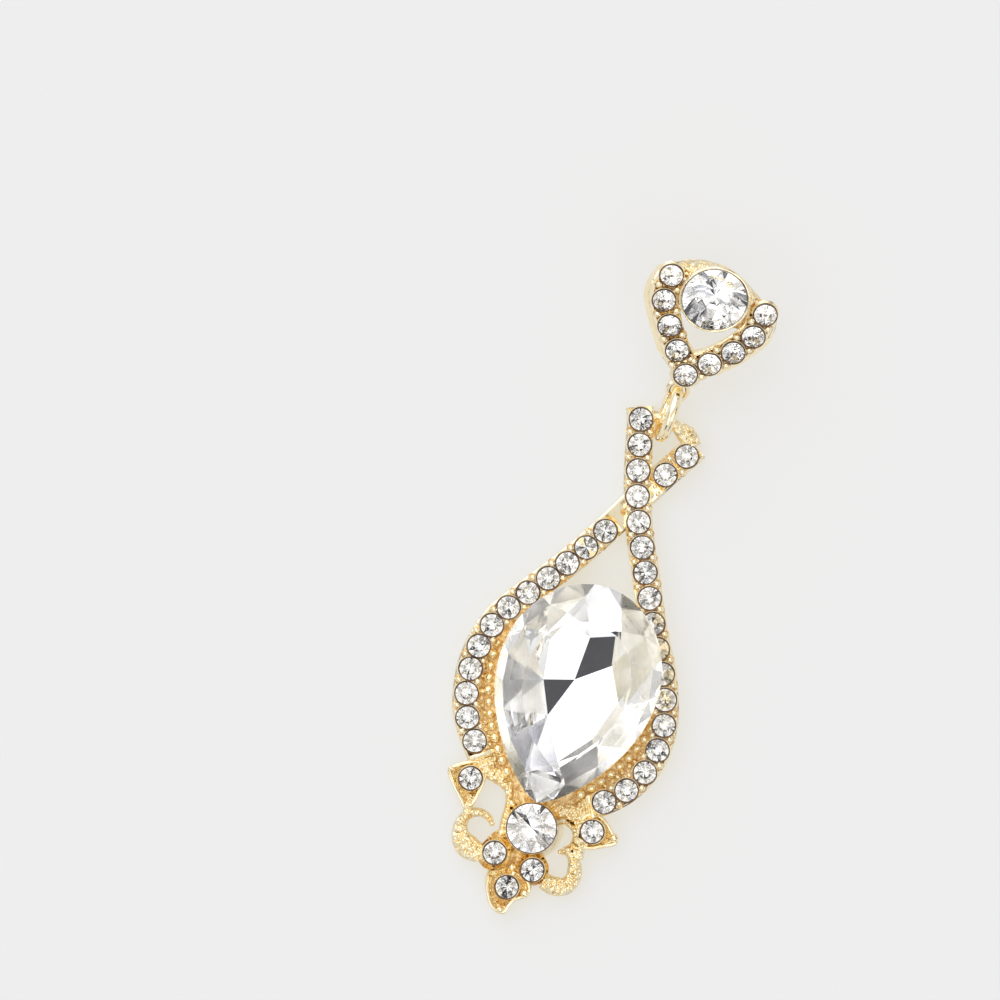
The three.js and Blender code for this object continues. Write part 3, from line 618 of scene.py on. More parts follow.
rowSeats = np.vstack([overSeats, underSeats, leafSeats])
wall = stoneWall(rimTop, rimTop, seatPlan["draft"])
wallShells = [
    (repeated(wall, rowSeats * flat), "polishedGold"),
    (gapShadeRings(rowSeats, rimTop - seatPlan["sunk"]), "seatShadow")]
beadLevel = dropPlan["height"] + dropPlan["beadRise"]
wallShells += [(notchBeads(seats, beadLevel), "polishedGold") for seats in (overSeats, underSeats)]
wallShells += [(notchShadePatches(seats, dropPlan["height"]), "recessShadeGold")
               for seats in (overSeats, underSeats)]
makePiece("stoneWalls", wallShells, ["drop_frame"], "gold", dropPlace)
print("strands and stone walls built")


# The pear: its outline runs from the top down the right side to the tip and up the left side.
# The head is a quarter ellipse on each side, the flank a cubic from the widest line to the tip.
pearPlan = {"length": 18.0, "width": 13.0, "belly": 10.5, "crown": 1.5, "pavilion": 3.2,
            "backGap": 0.35, "tipGap": 0.1, "aside": -0.27, "keel": 0.9, "girdle": 0.12,
            "ledge": 0.86, "wallInside": 0.84, "floorFrom": 124, "bead": 0.82, "fineBead": 0.44}
pearLevel = pearPlan["pavilion"] + pearPlan["backGap"]
pearTip = np.array([pearPlan["aside"], stones["round"]["diameter"] / 2 + pearPlan["tipGap"], 0.0])
pearMiddle = pearTip + [0, pearPlan["belly"] * pearPlan["keel"], 0]


def pearOutline(inset=0.0, count=180):
    half, head = pearPlan["width"] / 2, pearPlan["length"] - pearPlan["belly"]
    angle = np.linspace(0, np.pi / 2, 200)
    headLine = np.column_stack([half * np.sin(angle), pearPlan["belly"] + head * np.cos(angle)])
    t = np.linspace(0, 1, 240)[1:, None]
    a, b = np.array([half, pearPlan["belly"]]), np.array([half, pearPlan["belly"] * 0.62])
    c, d = np.array([half * 0.56, pearPlan["belly"] * 0.21]), np.array([half * 0.06, 0.0])
    flank = ((1 - t)**3 * a + 3 * (1 - t)**2 * t * b + 3 * (1 - t) * t**2 * c + t**3 * d)
    right = np.vstack([headLine, flank])
    whole = np.vstack([right, right[:0:-1] * [-1, 1], right[:1]])
    walked = lengthAlong(whole)
    line = pointsAt(whole, walked, np.linspace(0, walked[-1], count, endpoint=False))
    along = unit(np.roll(line, -1, axis=0) - np.roll(line, 1, axis=0))
    moved = line + np.column_stack([along[:, 1], -along[:, 0]]) * inset
    return np.column_stack([moved, np.zeros(count)]) + pearTip


# The outline drawn in towards the keel, as a share of its size.
def pearTowards(share, level):
    return pearMiddle + (pearOutline() - pearMiddle) * share * flat + [0, 0, level]


# Wall around the pear: each row's distance outside the outline, in mm, and its height, then
# the rows on its inside.
def pearWall():
    foot = dropPlan["undersides"]["wall"]
    outer = [(0.35, foot), (0.35, 0.7), (0.34, 1.5), (0.2, 2.9), (0.12, pearLevel - 0.3),
             (0.1, pearLevel - 0.16), (0.17, pearLevel - 0.1)]
    rows = [pearOutline(inset) + [0, 0, level] for inset, level in outer]
    rows += [pearTowards(0.965, pearLevel - 0.34), pearTowards(pearPlan["ledge"], pearLevel - 1.6),
             pearTowards(pearPlan["wallInside"], foot)]
    return skin(np.stack(rows, axis=1), looped=True)


# Floor beside the pear: strips between the strands' middle lines and the pear's wall.
def sideFloor(line):
    outer = np.vstack([line[pearPlan["floorFrom"]:], np.linspace(line[-1], [0, 0, 0], 24)[1:]])
    outline = pearTowards(pearPlan["wallInside"], 0.0)
    height = np.clip(outer[:, 1], pearTip[1] + 1.4, None)
    onRight = outline[:, 0] > pearMiddle[0] if line[-1][0] > 0 else outline[:, 0] < pearMiddle[0]
    flank = outline[onRight]
    flank = flank[np.argsort(flank[:, 1])]
    inner = np.column_stack([np.interp(height, flank[:, 1], flank[:, 0]), height, 0 * height])
    return slabBetween(outer, inner, dropPlan["undersides"]["side"], dropPlan["web"])


# Beads in a row beside the pear's flanks, between two shares of the belly's height.
def pearBeads(aside, spacing, size, low, high):
    line = pearOutline(-aside, 400)
    walked = lengthAlong(line)
    places = pointsAt(line, walked, np.arange(spacing / 2, walked[-1], spacing))
    up = (places[:, 1] - pearTip[1]) / pearPlan["belly"]
    places = places[(up > low) & (up < high)]
    return places + [0, 0, dropPlan["web"] + size * 0.15]


bigBeads = pearBeads(0.5, 0.96, pearPlan["bead"], 0.14, 1.08)
fineBeads = pearBeads(1.0, 0.62, 0.46, 0.2, 1.02)
fineBeads = fineBeads + rng.uniform(-0.08, 0.08, fineBeads.shape)
pearMount = [
    (pearWall(), "polishedGold"),
    # The floors beside the pear wear dark gold painted as shade in the recess.
    (sideFloor(overLine), "recessShadeGold"),
    (sideFloor(underLine), "recessShadeGold"),
    (repeated(ball(1.0, 0.95), bigBeads,
              pearPlan["bead"] * rng.uniform(0.92, 1.06, len(bigBeads))), "polishedGold"),
    (repeated(ball(1.0, 0.9), fineBeads,
              pearPlan["fineBead"] * rng.uniform(0.8, 1.1, len(fineBeads))), "castGold"),
]
makePiece("pearMount", pearMount, ["drop_frame"], "gold", dropPlace)
print("pear mount built")


# Cup around the round stone: a turned wall that widens to its foot, with a rounded lip.
cupPlan = {"wall": 0.3, "rim": 2.6, "flare": 0.35, "lip": 0.12, "stoneTurn": 0.3}


def cup(radius, level, foot, footRadius, lip):
    inner = radius + 0.05
    outer = radius + lip
    profile = [(inner, level - 0.45), (footRadius - 0.5, foot + 0.3), (footRadius - 0.5, foot),
               (footRadius, foot), (footRadius - 0.04, foot + 0.35), (outer, level - 0.25),
               (outer, level - 0.02), (outer - 0.05, level + 0.04), (outer - 0.1, level + 0.05),
               (inner, level - 0.02)]
    return turned(profile, 56)


# Dark ring of painted shade in the gap between a large stone and its cup.
def cupGapShade(radius, level):
    profile = [(radius - 0.02, level - 0.4), (radius + 0.09, level - 0.4), (radius + 0.09, level),
               (radius - 0.02, level)]
    return turned(profile, 56)


roundRadius = stones["round"]["diameter"] / 2
roundCup = [
    (cup(roundRadius, cupPlan["rim"], dropPlan["undersides"]["cup"],
         roundRadius + cupPlan["wall"] + cupPlan["flare"], cupPlan["lip"]), "polishedGold"),
    (cupGapShade(roundRadius, cupPlan["rim"] + 0.08), "seatShadow"),
]
makePiece("roundCup", roundCup, ["drop_frame"], "gold", dropPlace)

# Ornament around the round stone. Places are in mm from that stone's middle; a ribbon's third
# number is its width there. Grains are strewn between two shares of a ribbon, in that number;
# a rim runs between two shares of its leaf's outline.
ornamentPlan = {
    "height": 1.5, "rimInset": 0.06, "rimWire": 0.3, "webTop": 0.9, "crossLevel": 1.65,
    "ribbons": {
        "leftBranch": [(-5.3, 3.35, 0.9), (-4.3, 3.1, 1.2), (-3.3, 2.85, 1.15), (-2.6, 2.2, 0.75),
                       (-2.35, 1.2, 0.5), (-2.3, 0.2, 0.45), (-2.15, -0.9, 0.5)],
        "leftNeck": [(-6.05, 4.6, 2.0), (-5.4, 3.9, 1.9), (-4.7, 3.2, 1.3)],
        "rightNeck": [(4.25, 3.35, 1.9), (3.6, 2.8, 1.8), (2.9, 2.2, 1.3)],
        "leftStem": [(-5.35, 1.0, 0.8), (-5.3, 0.2, 0.75), (-5.2, -0.6, 0.8)],
        "leftScroll": [(-3.1, -0.62, 0.4), (-3.55, -0.28, 0.55), (-4.3, -0.15, 0.68),
                       (-5.05, -0.55, 0.8), (-5.4, -1.35, 1.0), (-5.15, -2.35, 1.45),
                       (-4.4, -3.0, 1.9), (-3.4, -3.2, 1.6), (-2.6, -3.1, 1.3)],
        "rightBranch": [(0.9, 2.15, 0.9), (1.9, 2.1, 1.25), (3.0, 2.05, 1.45), (3.9, 1.5, 1.2)],
        "rightRim": [(2.4, 1.3, 0.4), (3.3, 0.9, 0.5), (3.6, 0.1, 0.5), (3.45, -0.5, 0.5),
                     (3.0, -0.85, 0.45)],
        "rightStem": [(4.2, 0.4, 1.1), (4.1, -0.4, 1.05), (4.15, -1.2, 1.0)],
        "rightScroll": [(2.75, -1.1, 0.4), (3.3, -1.0, 0.55), (3.85, -1.25, 0.85),
                        (4.3, -2.0, 1.15), (4.4, -2.9, 1.25), (3.95, -3.6, 1.4),
                        (3.1, -3.85, 1.5), (2.2, -3.7, 1.3)],
    },
    "leaves": {
        "leftLeaf": [(-7.75, 2.35), (-7.3, 2.85), (-6.4, 3.45), (-5.4, 3.7), (-4.85, 3.2),
                     (-4.72, 2.2), (-4.85, 1.2), (-5.0, 0.3), (-5.5, -0.25), (-6.0, 0.25),
                     (-6.9, 1.15), (-7.6, 1.95)],
        "rightLeaf": [(6.85, 0.95), (6.3, 1.65), (5.5, 2.35), (4.6, 2.7), (3.8, 2.4), (3.5, 1.3),
                      (3.65, 0.3), (4.1, -0.3), (4.95, -0.15), (5.9, 0.35)],
        "bottomLeaf": [(-0.25, -7.3), (-1.05, -7.0), (-1.7, -6.1), (-2.1, -5.2), (-2.2, -4.3),
                       (-1.5, -3.7), (-0.3, -3.6), (0.9, -3.9), (1.5, -4.6), (1.2, -5.4),
                       (0.55, -5.9), (0.25, -6.6), (0.1, -7.15)],
        "innerLeft": [(-3.4, -2.9), (-2.95, -1.8), (-2.1, -1.5), (-1.15, -1.9), (-0.8, -2.9),
                      (-1.2, -3.9), (-2.2, -4.3), (-3.1, -3.9)],
        "innerRight": [(2.45, -3.0), (2.0, -2.1), (1.2, -1.7), (0.3, -2.1), (-0.1, -3.0),
                       (0.4, -3.9), (1.3, -4.3), (2.1, -3.9)],
    },
    "leafRows": [(-0.03, 0.4), (-0.02, 0.8), (0.03, 1.02), (0.1, 1.08), (0.18, 1.0), (0.26, 0.7),
                 (0.5, 0.64), (0.76, 0.86), (0.9, 1.18), (1.0, 1.28), (1.05, 1.22), (1.08, 0.7)],
    "rims": {"leftLeaf": (0.0, 1.0), "rightLeaf": (0.0, 1.0), "bottomLeaf": (0.64, 1.3)},
    "stoneOf": {"leftLeaf": 0, "rightLeaf": 1, "bottomLeaf": 2, "innerLeft": 3, "innerRight": 4},
    "tipBeads": [(-7.55, 2.45, 0.45), (6.5, 1.3, 0.72), (-0.3, -6.95, 0.6), (1.15, -5.15, 0.75),
                 (-3.1, -0.65, 0.45), (2.75, -1.12, 0.4), (-0.45, -3.45, 0.6), (-0.2, -3.9, 0.5),
                 (-2.15, -1.1, 0.55), (3.35, -0.75, 0.4), (-2.1, 1.35, 0.6)],
    "web": [(0.0, 0.0), (-2.3, -0.9), (-3.1, -2.0), (-3.0, -3.6), (-1.6, -4.6), (0.8, -4.6),
            (2.3, -3.8), (2.3, -2.6), (1.4, -1.6)],
    "grains": {"leftScroll": (0.5, 0.98, 46), "rightScroll": (0.3, 0.98, 40),
               "rightBranch": (0.05, 0.95, 34), "leftBranch": (0.05, 0.5, 14),
               "rightStem": (0.0, 1.0, 14), "leftNeck": (0.0, 1.0, 26),
               "rightNeck": (0.0, 1.0, 26)},
    "lobe": [(1.0, 34.0, 0.85), (1.9, 33.5, 1.35), (2.75, 32.8, 1.1)], "lobeHeight": 1.75,
    "lobeGrains": (0.05, 0.98, 40),
    "crossBeads": [(1.1, 28.35, 0.45), (0.55, 28.1, 0.4), (0.7, 28.8, 0.4), (1.4, 29.0, 0.42)],
}


# Ribbon: half-round across; ridges run across it as waves along the path that fade towards its
# edges. Gives the path, its widths and the height over the floor at a place across it.
def ribbonShape(rows, base, count=150, ridges=2.2, ridgeHeight=0.09):
    line = smoothLine(rows, count)
    walked = lengthAlong(line[:, :2])

    def heightAt(row, across):
        dome = base * (0.66 + 0.42 * np.sqrt(np.clip(1 - 0.92 * across**2, 0, 1)))
        wave = np.sin(walked[row] * 2 * np.pi * ridges + across * 1.8)
        return dome + ridgeHeight * wave * (1 - across**4)
    return line[:, :2], line[:, 2], heightAt


def sideways(path):
    along = unit(np.gradient(path, axis=0))
    return np.column_stack([along[:, 1], -along[:, 0]])


def ribbon(rows, base=ornamentPlan["height"]):
    path, wide, heightAt = ribbonShape(rows, base)
    across = np.linspace(-1, 1, 15)[None, :]
    row = np.arange(len(path))[:, None]
    top = np.stack([across * wide[:, None] / 2, heightAt(row, across)], -1)
    foot = np.array([1.02, 0.5, 0, -0.5, -1.02])[None, :] * wide[:, None] / 2
    foot = np.stack([foot, 0 * foot], -1)
    line = np.column_stack([path, np.full(len(path), dropPlan["undersides"]["ribbon"])])
    return skin(carry(line, np.concatenate([top, foot], axis=1)))


# Grains strewn over part of a ribbon, sunk to about half.
def ribbonGrains(rows, start, end, count, base=ornamentPlan["height"]):
    path, wide, heightAt = ribbonShape(rows, base)
    row = rng.integers(int(start * 149), int(end * 149), count)
    across = rng.uniform(-0.8, 0.8, count)
    spots = path[row] + sideways(path)[row] * (across * wide[row] / 2)[:, None]
    places = np.column_stack([spots, heightAt(row, across) - 0.02])
    return repeated(ball(1.0, 0.9), places, rng.uniform(0.24, 0.42, count))


# Leaf: its edge rises to a raised border, dips behind it and climbs to the stone's wall. Rows
# run from the edge to a ring around the stone: the share of the way between them, and the share
# of the ornament's height.
def leaf(outline, seat):
    edge = smoothRing(outline, 110)
    ring = seat[:2] + unit(edge - seat[:2]) * (smallSize / 2 + 0.06)
    levels = [(0.0, dropPlan["undersides"]["leaf"])]
    levels += [(share, ornamentPlan["height"] * high) for share, high in ornamentPlan["leafRows"]]
    rows = [np.column_stack([edge + (ring - edge) * share, np.full(len(edge), level)])
            for share, level in levels]
    return skin(np.stack(rows))


# Smooth wire on the leaf's raised border, over a stretch of its outline.
def leafRim(outline, seat, start, end):
    edge = smoothRing(outline, 90)
    edge = edge[np.arange(int(start * 90), int(end * 90) + 1) % 90]
    line = edge + (seat[:2] - edge) * ornamentPlan["rimInset"]
    line = np.column_stack([line, np.full(len(line), ornamentPlan["height"])])
    return rod(line, ornamentPlan["rimWire"] / 2, 8)


leafShells = [(leaf(outline, leafSeats[ornamentPlan["stoneOf"][name]]), "castGold")
              for name, outline in ornamentPlan["leaves"].items()]
leafShells += [(leafRim(ornamentPlan["leaves"][name], leafSeats[ornamentPlan["stoneOf"][name]],
                        *stretch), "polishedGold")
               for name, stretch in ornamentPlan["rims"].items()]
makePiece("leaves", leafShells, ["drop_frame"], "gold", dropPlace, sharp=60)

ribbonShells = [(ribbon(rows), "castGold") for rows in ornamentPlan["ribbons"].values()]
grainShells = [(ribbonGrains(ornamentPlan["ribbons"][name], *spread), "polishedGold")
               for name, spread in ornamentPlan["grains"].items()]
tips = np.array(ornamentPlan["tipBeads"])
tipPlaces = np.column_stack([tips[:, :2], np.full(len(tips), ornamentPlan["height"])])
grainShells.append((repeated(ball(1.0, around=12, rings=7), tipPlaces, tips[:, 2]),
                    "polishedGold"))
makePiece("scrolls", ribbonShells + grainShells, ["drop_frame"], "gold", dropPlace, sharp=60)

# Web under the ornament, in dark gold painted as shade in the recess.
web = smoothRing(ornamentPlan["web"], 60)
webRows = [np.column_stack([web, np.full(60, level)])
           for level in (dropPlan["undersides"]["web"], ornamentPlan["webTop"])]
makePiece("ornamentWeb", [(skin(np.stack(webRows)), "recessShadeGold")], ["drop_frame"], "gold",
          dropPlace)


# Round bar across the top of the drop, which the jump ring holds, with a grained lobe below it.
barPoints = np.array(dropPlan["bar"])
barLine = smoothLine(onDrop(barPoints[:, :2]) + barPoints[:, 2:] * [0, 0, 1], 50)
topShells = [
    (rod(barLine, dropPlan["barDiameter"] / 2), "castGold"),
    (ribbon(ornamentPlan["lobe"], ornamentPlan["lobeHeight"]), "castGold"),
    (ribbonGrains(ornamentPlan["lobe"], *ornamentPlan["lobeGrains"], ornamentPlan["lobeHeight"]),
     "polishedGold"),
]
crossing = np.array(ornamentPlan["crossBeads"])
crossPlaces = np.column_stack([crossing[:, :2], np.full(len(crossing), ornamentPlan["crossLevel"])])
topShells.append((repeated(ball(1.0, 0.8), crossPlaces, crossing[:, 2]), "polishedGold"))
makePiece("topBar", topShells, ["drop_frame"], "gold", dropPlace, sharp=60)
print("ornament and bar built")

# Jump ring: a round wire bent to a circle, with a hairline gap where its ends meet.
ringPlan = {"outer": 5.0, "wire": 0.9, "gapTurn": 62, "halfGap": 1.6}


def jumpRing():
    points = nodePoints("jump_ring")
    middle = (points.min(axis=0) + points.max(axis=0)) / 2
    axis = np.linalg.svd(points - middle, full_matrices=False)[2][2]
    first = unit(np.cross(axis, [0, 1, 0]))
    second = np.cross(axis, first)
    turn = np.radians(np.linspace(ringPlan["gapTurn"] + ringPlan["halfGap"],
                                  360 + ringPlan["gapTurn"] - ringPlan["halfGap"], 96))
    outwards = np.cos(turn)[:, None] * first + np.sin(turn)[:, None] * second
    radius, wire = (ringPlan["outer"] - ringPlan["wire"]) / 2, ringPlan["wire"] / 2
    around = np.arange(20) * 2 * np.pi / 20
    rows = (middle + outwards[:, None] * (radius + wire * np.cos(around))[None, :, None]
            + axis * (wire * np.sin(around))[None, :, None])
    return skin(rows)


makePiece("jumpRing", [(jumpRing(), "polishedGold")], ["jump_ring"], "gold", sharp=60)


# Stud casting, in the stud's own frame.
def arm(line, outwards):
    share = np.linspace(0, 1, len(line))
    fade = outwards * np.clip(np.minimum(share, 1 - share) * 4, 0, 1)
    inwards = outwards * studPlan["armInwards"]
    outline = bandOutline(len(line), studPlan["armFace"], studPlan["armFoot"],
                          studPlan["armHeight"], 0.1, fade * studPlan["armAside"] - inwards,
                          fade * studPlan["armFlare"] - inwards * 0.7,
                          grooveAlong(line, studStones, studPlan["groove"]))
    return skin(carry(line * flat, outline) + [0, 0, studBack])


leftLine, rightLine = smoothLine(leftArm, 120), smoothLine(rightArm, 120)
archLine = smoothLine(onStud(studPlan["arch"]), 60)
# Where the arch runs past a small stone it is kept below that stone's point.
archHigh = studPlan["archLow"] + (studPlan["thickness"] - studPlan["archLow"]) * np.clip(
    (awayFrom(archLine, studStones) - 0.95) / 0.5, 0, 1)
archOutline = bandOutline(60, studPlan["archFace"], studPlan["archFoot"], archHigh, 0.12)
archEdge = archLine - np.column_stack([sideways(archLine[:, :2]) * 0.36, np.zeros(60)])


# Plate between the arms and the arch, behind the large stone's cup.
def studPlate():
    left = np.vstack([leftLine[84:], archLine[:30]])
    right = np.vstack([rightLine[84:], archLine[:29:-1]])
    count = min(len(left), len(right))
    return slabBetween(left[:count], right[:count], studBack, studBack + studPlan["plate"])


def studBeads(line, count, spread, size, rise):
    places = line[np.linspace(0, len(line) - 1, count).astype(int)]
    places = places * [1, 1, 0] + rng.uniform(-spread, spread, places.shape) * [1, 1, 0.2]
    kept = awayFrom(places, studStones) > (smallSize + size) / 2
    return repeated(ball(1.0, 0.9), places[kept] + [0, 0, studFace + rise],
                    size * rng.uniform(0.75, 1.1, kept.sum()))


studWallTop = studLevel + stones["girdle"]
studRadius = stones["stud"]["diameter"] / 2
cupTop = studBack + studPlan["cupHeight"] + stones["girdle"] / 2
studShells = [
    (arm(leftLine, -1.0), "polishedGold"),
    (arm(rightLine, 1.0), "polishedGold"),
    (skin(carry(archLine * flat, archOutline) + [0, 0, studBack]), "castGold"),
    # The plate behind the cup wears dark gold painted as shade.
    (studPlate(), "recessShadeGold"),
]
studShells += [(studBeads(line, *row), "polishedGold") for line, row in
               zip((archLine, archLine[:34], archEdge), studPlan["archBeads"])]
makePiece("studBody", studShells, ["stud_frame"], "gold", studPlace, sharp=30)

# Ring around a stone at an arm's end, open in the middle for the stone's point.
def armEnd(radius, taper, top):
    return turned([(0.36, studBack), (radius - taper, studBack), (radius, top - 0.1),
                   (radius - 0.06, top), (0.96, top), (0.36, top - 0.7)], 32)


eyeletInner = studPlan["eyeletBore"] / 2
eyeletOuter = eyeletInner + studPlan["eyeletWall"]
eyeletHalf = studPlan["eyeletThickness"] / 2
eyeletBack = [(eyeletInner, -eyeletHalf + 0.12), (eyeletInner + 0.1, -eyeletHalf),
              (eyeletOuter - 0.12, -eyeletHalf), (eyeletOuter, -eyeletHalf + 0.12)]
eyeletSection = eyeletBack + [(radius, -level) for radius, level in eyeletBack[::-1]]
cupShift = studCup * flat
armRows = [studStones[:5], studStones[[0, 5, 6, 7, 8]]]
armBeads = [notchBeads(seats, studFace + studPlan["beadRise"]) for seats in armRows]
armLevel = studBack + studPlan["armHeight"]
armShadePatches = [notchShadePatches(seats, armLevel) for seats in armRows]
endRings = [(armEnd(radius, taper, armLevel), studStones[stone] * flat)
            for stone, radius, taper in ((0, 1.3, 0.1), (4, 1.08, 0.5), (8, 1.08, 0.5))]
studWallShells = [
    (repeated(stoneWall(studPlan["rimDepth"], studWallTop, studPlan["rimDraft"]),
              studStones * flat), "polishedGold"),
    (gapShadeRings(studStones, studWallTop - seatPlan["sunk"]), "seatShadow"),
    (joined(armBeads), "polishedGold"),
    (joined(armShadePatches), "recessShadeGold"),
    (turned(eyeletSection, 40), "polishedGold"),
    (joined([(ring[0] + middle, ring[1]) for ring, middle in endRings]), "polishedGold"),
]
studCupShells = [
    (cup(studRadius, cupTop, studBack, studRadius + cupPlan["wall"] - studPlan["cupTaper"],
         studPlan["cupLip"]), "polishedGold"),
    (cupGapShade(studRadius, cupTop - 0.02), "seatShadow")]
studWallShells += [((points + cupShift, faces), finish)
                   for (points, faces), finish in studCupShells]
makePiece("studWalls", studWallShells, ["stud_frame"], "gold", studPlace)

# Ear post: pad, plain pin with a groove near its rounded end.
postPlan = {"diameter": 0.9, "length": 6.3, "pad": 2.2, "padThickness": 0.4, "gap": 0.1,
            "below": 1.3}


def earPost():
    radius, length = postPlan["diameter"] / 2, postPlan["length"]
    pad, thick = postPlan["pad"] / 2, postPlan["padThickness"]
    end = np.linspace(0, np.pi / 2, 7)[:-1]
    side = [(pad - 0.08, 0.0), (pad, 0.08), (pad, thick - 0.1), (pad - 0.1, thick),
            (radius + 0.15, thick), (radius + 0.04, thick + 0.04), (radius, thick + 0.15),
            (radius, length - 1.9), (radius - 0.07, length - 1.75), (radius - 0.07, length - 1.45),
            (radius, length - 1.3)]
    side += [(radius * math.cos(a), length - radius + radius * math.sin(a)) for a in end]
    points, faces = lathed(side, 32)
    points[-1, 2] = length
    points[-2, 2] = 0.0
    foot = cupShift + [0, -postPlan["below"], studBack - postPlan["gap"]]
    points = points * [1, -1, -1] + foot
    return points, faces


makePiece("earPost", [(earPost(), "polishedGold")], ["ear_post"], "gold", studPlace)
print("stud built")


# Cut stones: rings of corners, joined by flat facets. Each facet is a triangle with corners of
# its own, turned so that it faces away from the stone's inside.
def facing(triangles, inside):
    triangles = np.asarray(triangles, float)
    normal = np.cross(triangles[:, 1] - triangles[:, 0], triangles[:, 2] - triangles[:, 0])
    wrong = np.einsum("ij,ij->i", normal, triangles.mean(axis=1) - inside) < 0
    triangles[wrong] = triangles[wrong][:, ::-1]
    return triangles


# Joins two rings around one middle, stepping along the one whose next edge comes first.
def joinRings(inner, outer, middle):
    def ordered(ring):
        turn = np.arctan2(ring[:, 1] - middle[1], ring[:, 0] - middle[0]) % (2 * np.pi)
        order = np.argsort(turn)
        return np.append(ring[order], ring[order[:1]], 0), np.append(turn[order],
                                                                     turn[order[0]] + 2 * np.pi)
    (near, nearTurn), (far, farTurn) = ordered(inner), ordered(outer)
    i = j = 0
    triangles = []
    while i < len(near) - 1 or j < len(far) - 1:
        if j == len(far) - 1 or (i < len(near) - 1 and nearTurn[i] + nearTurn[i + 1]
                                 <= farTurn[j] + farTurn[j + 1]):
            triangles.append((near[i], far[j], near[i + 1]))
            i += 1
        else:
            triangles.append((near[i], far[j], far[j + 1]))
            j += 1
    return triangles


def fan(middle, ring):
    return [(middle, ring[k - 1], ring[k]) for k in range(len(ring))]


def ownCorners(triangles):
    return triangles.reshape(-1, 3), np.arange(len(triangles) * 3).reshape(-1, 3)


# clear holds the glass triangles; foiled pairs triangles with the name of the foil behind them.
def makeStone(name, node, clear, foiled, inside, slotName, place):
    shells = [(ownCorners(facing(clear, inside)), "cutCrystal")]
    shells += [(ownCorners(facing(triangles, inside)), foil) for triangles, foil in foiled]
    return makePiece(name, shells, [node], slotName, place, sharp=0)


def circle(radius, count, level, phase=0.0):
    turn = (np.arange(count) + phase) * 2 * np.pi / count
    return np.column_stack([radius * np.cos(turn), radius * np.sin(turn), 0 * turn + level])


# Deals the foils out to the facets by chance, each with its share of them.
def shareFoils(triangles, foilShares):
    kinds = rng.choice(len(foilShares), len(triangles), p=list(foilShares.values()))
    triangles = np.asarray(triangles)
    return [(triangles[kinds == k], foil) for k, foil in enumerate(foilShares) if (kinds == k).any()]


# Round stone: eight kites from the table to the girdle, stars between them, and below the
# girdle eight kites to the point. The kites' side corners are set so that they stay flat.
def roundParts(look, mains=8):
    radius, depth = look["diameter"] / 2, look["diameter"] * look["pavilion"]
    band, crown = stones["girdle"], look["diameter"] * look["crown"]
    tableRadius = radius * look["table"]
    girdle = circle(radius, mains * 4, 0.0)
    top = girdle + [0, 0, band]
    table = circle(tableRadius, mains, band + crown)
    starRadius = (tableRadius + radius) / 2
    starRise = (radius - starRadius * math.cos(np.pi / mains)) / (radius - tableRadius)
    star = circle(starRadius, mains, band + crown * min(starRise, 0.93), 0.5)
    lowRadius = radius * look["lower"]
    low = circle(lowRadius, mains, -depth * (1 - lowRadius * math.cos(np.pi / mains) / radius), 0.5)
    middle = np.zeros(3)
    clear = fan(table.mean(axis=0), table) + joinRings(table, star, middle)
    clear += joinRings(star, top, middle) + joinRings(top, girdle, middle)
    point = np.array([0, 0, -depth])
    kites = []
    for k in range(mains):
        kites += [(point, low[k - 1], girdle[4 * k]), (point, girdle[4 * k], low[k])]
    foiled = shareFoils(kites + joinRings(low, girdle, middle), look["foils"])
    return clear, foiled, point * 0.2


# Turn about a stone's axis by an angle, then a small lean.
def stoneTurn(axis, turn, lean):
    across = unit(np.cross([0, 1, 0], axis))
    onward = np.cross(axis, across)
    c, s = math.cos(turn), math.sin(turn)
    spin = np.array([[c, -s, 0], [s, c, 0], [0, 0, 1]])
    tilt = np.array([[1, 0, lean[0]], [0, 1, lean[1]], [-lean[0], -lean[1], 1]])
    square, scaled = np.linalg.qr(tilt)
    return np.column_stack([across, onward, axis]) @ square @ np.diag(np.sign(np.diag(scaled))) @ spin


stoneNames = {"over_stone": "overStone", "under_stone": "underStone", "leaf_stone": "leafStone",
              "stud_small": "studStone"}
for prefix, label in stoneNames.items():
    for number, name in enumerate(namesOf(prefix), 1):
        origin, axis = smallSeats[name]
        turn = stoneTurn(axis, rng.uniform(0, 2 * np.pi), rng.uniform(-0.04, 0.04, 2))
        makeStone(f"{label}{number:02d}", name, *roundParts(stones["small"]), "small_crystal",
                  (turn, origin))

makeStone("roundStone", "round_stone", *roundParts(stones["round"]), "large_crystal",
          (stoneTurn(roundSeat[1], cupPlan["stoneTurn"], (0.0, 0.0)), roundSeat[0]))
makeStone("studCentreStone", "stud_stone", *roundParts(stones["stud"]),
          "large_crystal", (stoneTurn(studSeat[1], studPlan["stoneTurn"], (0.0, 0.0)), studSeat[0]))

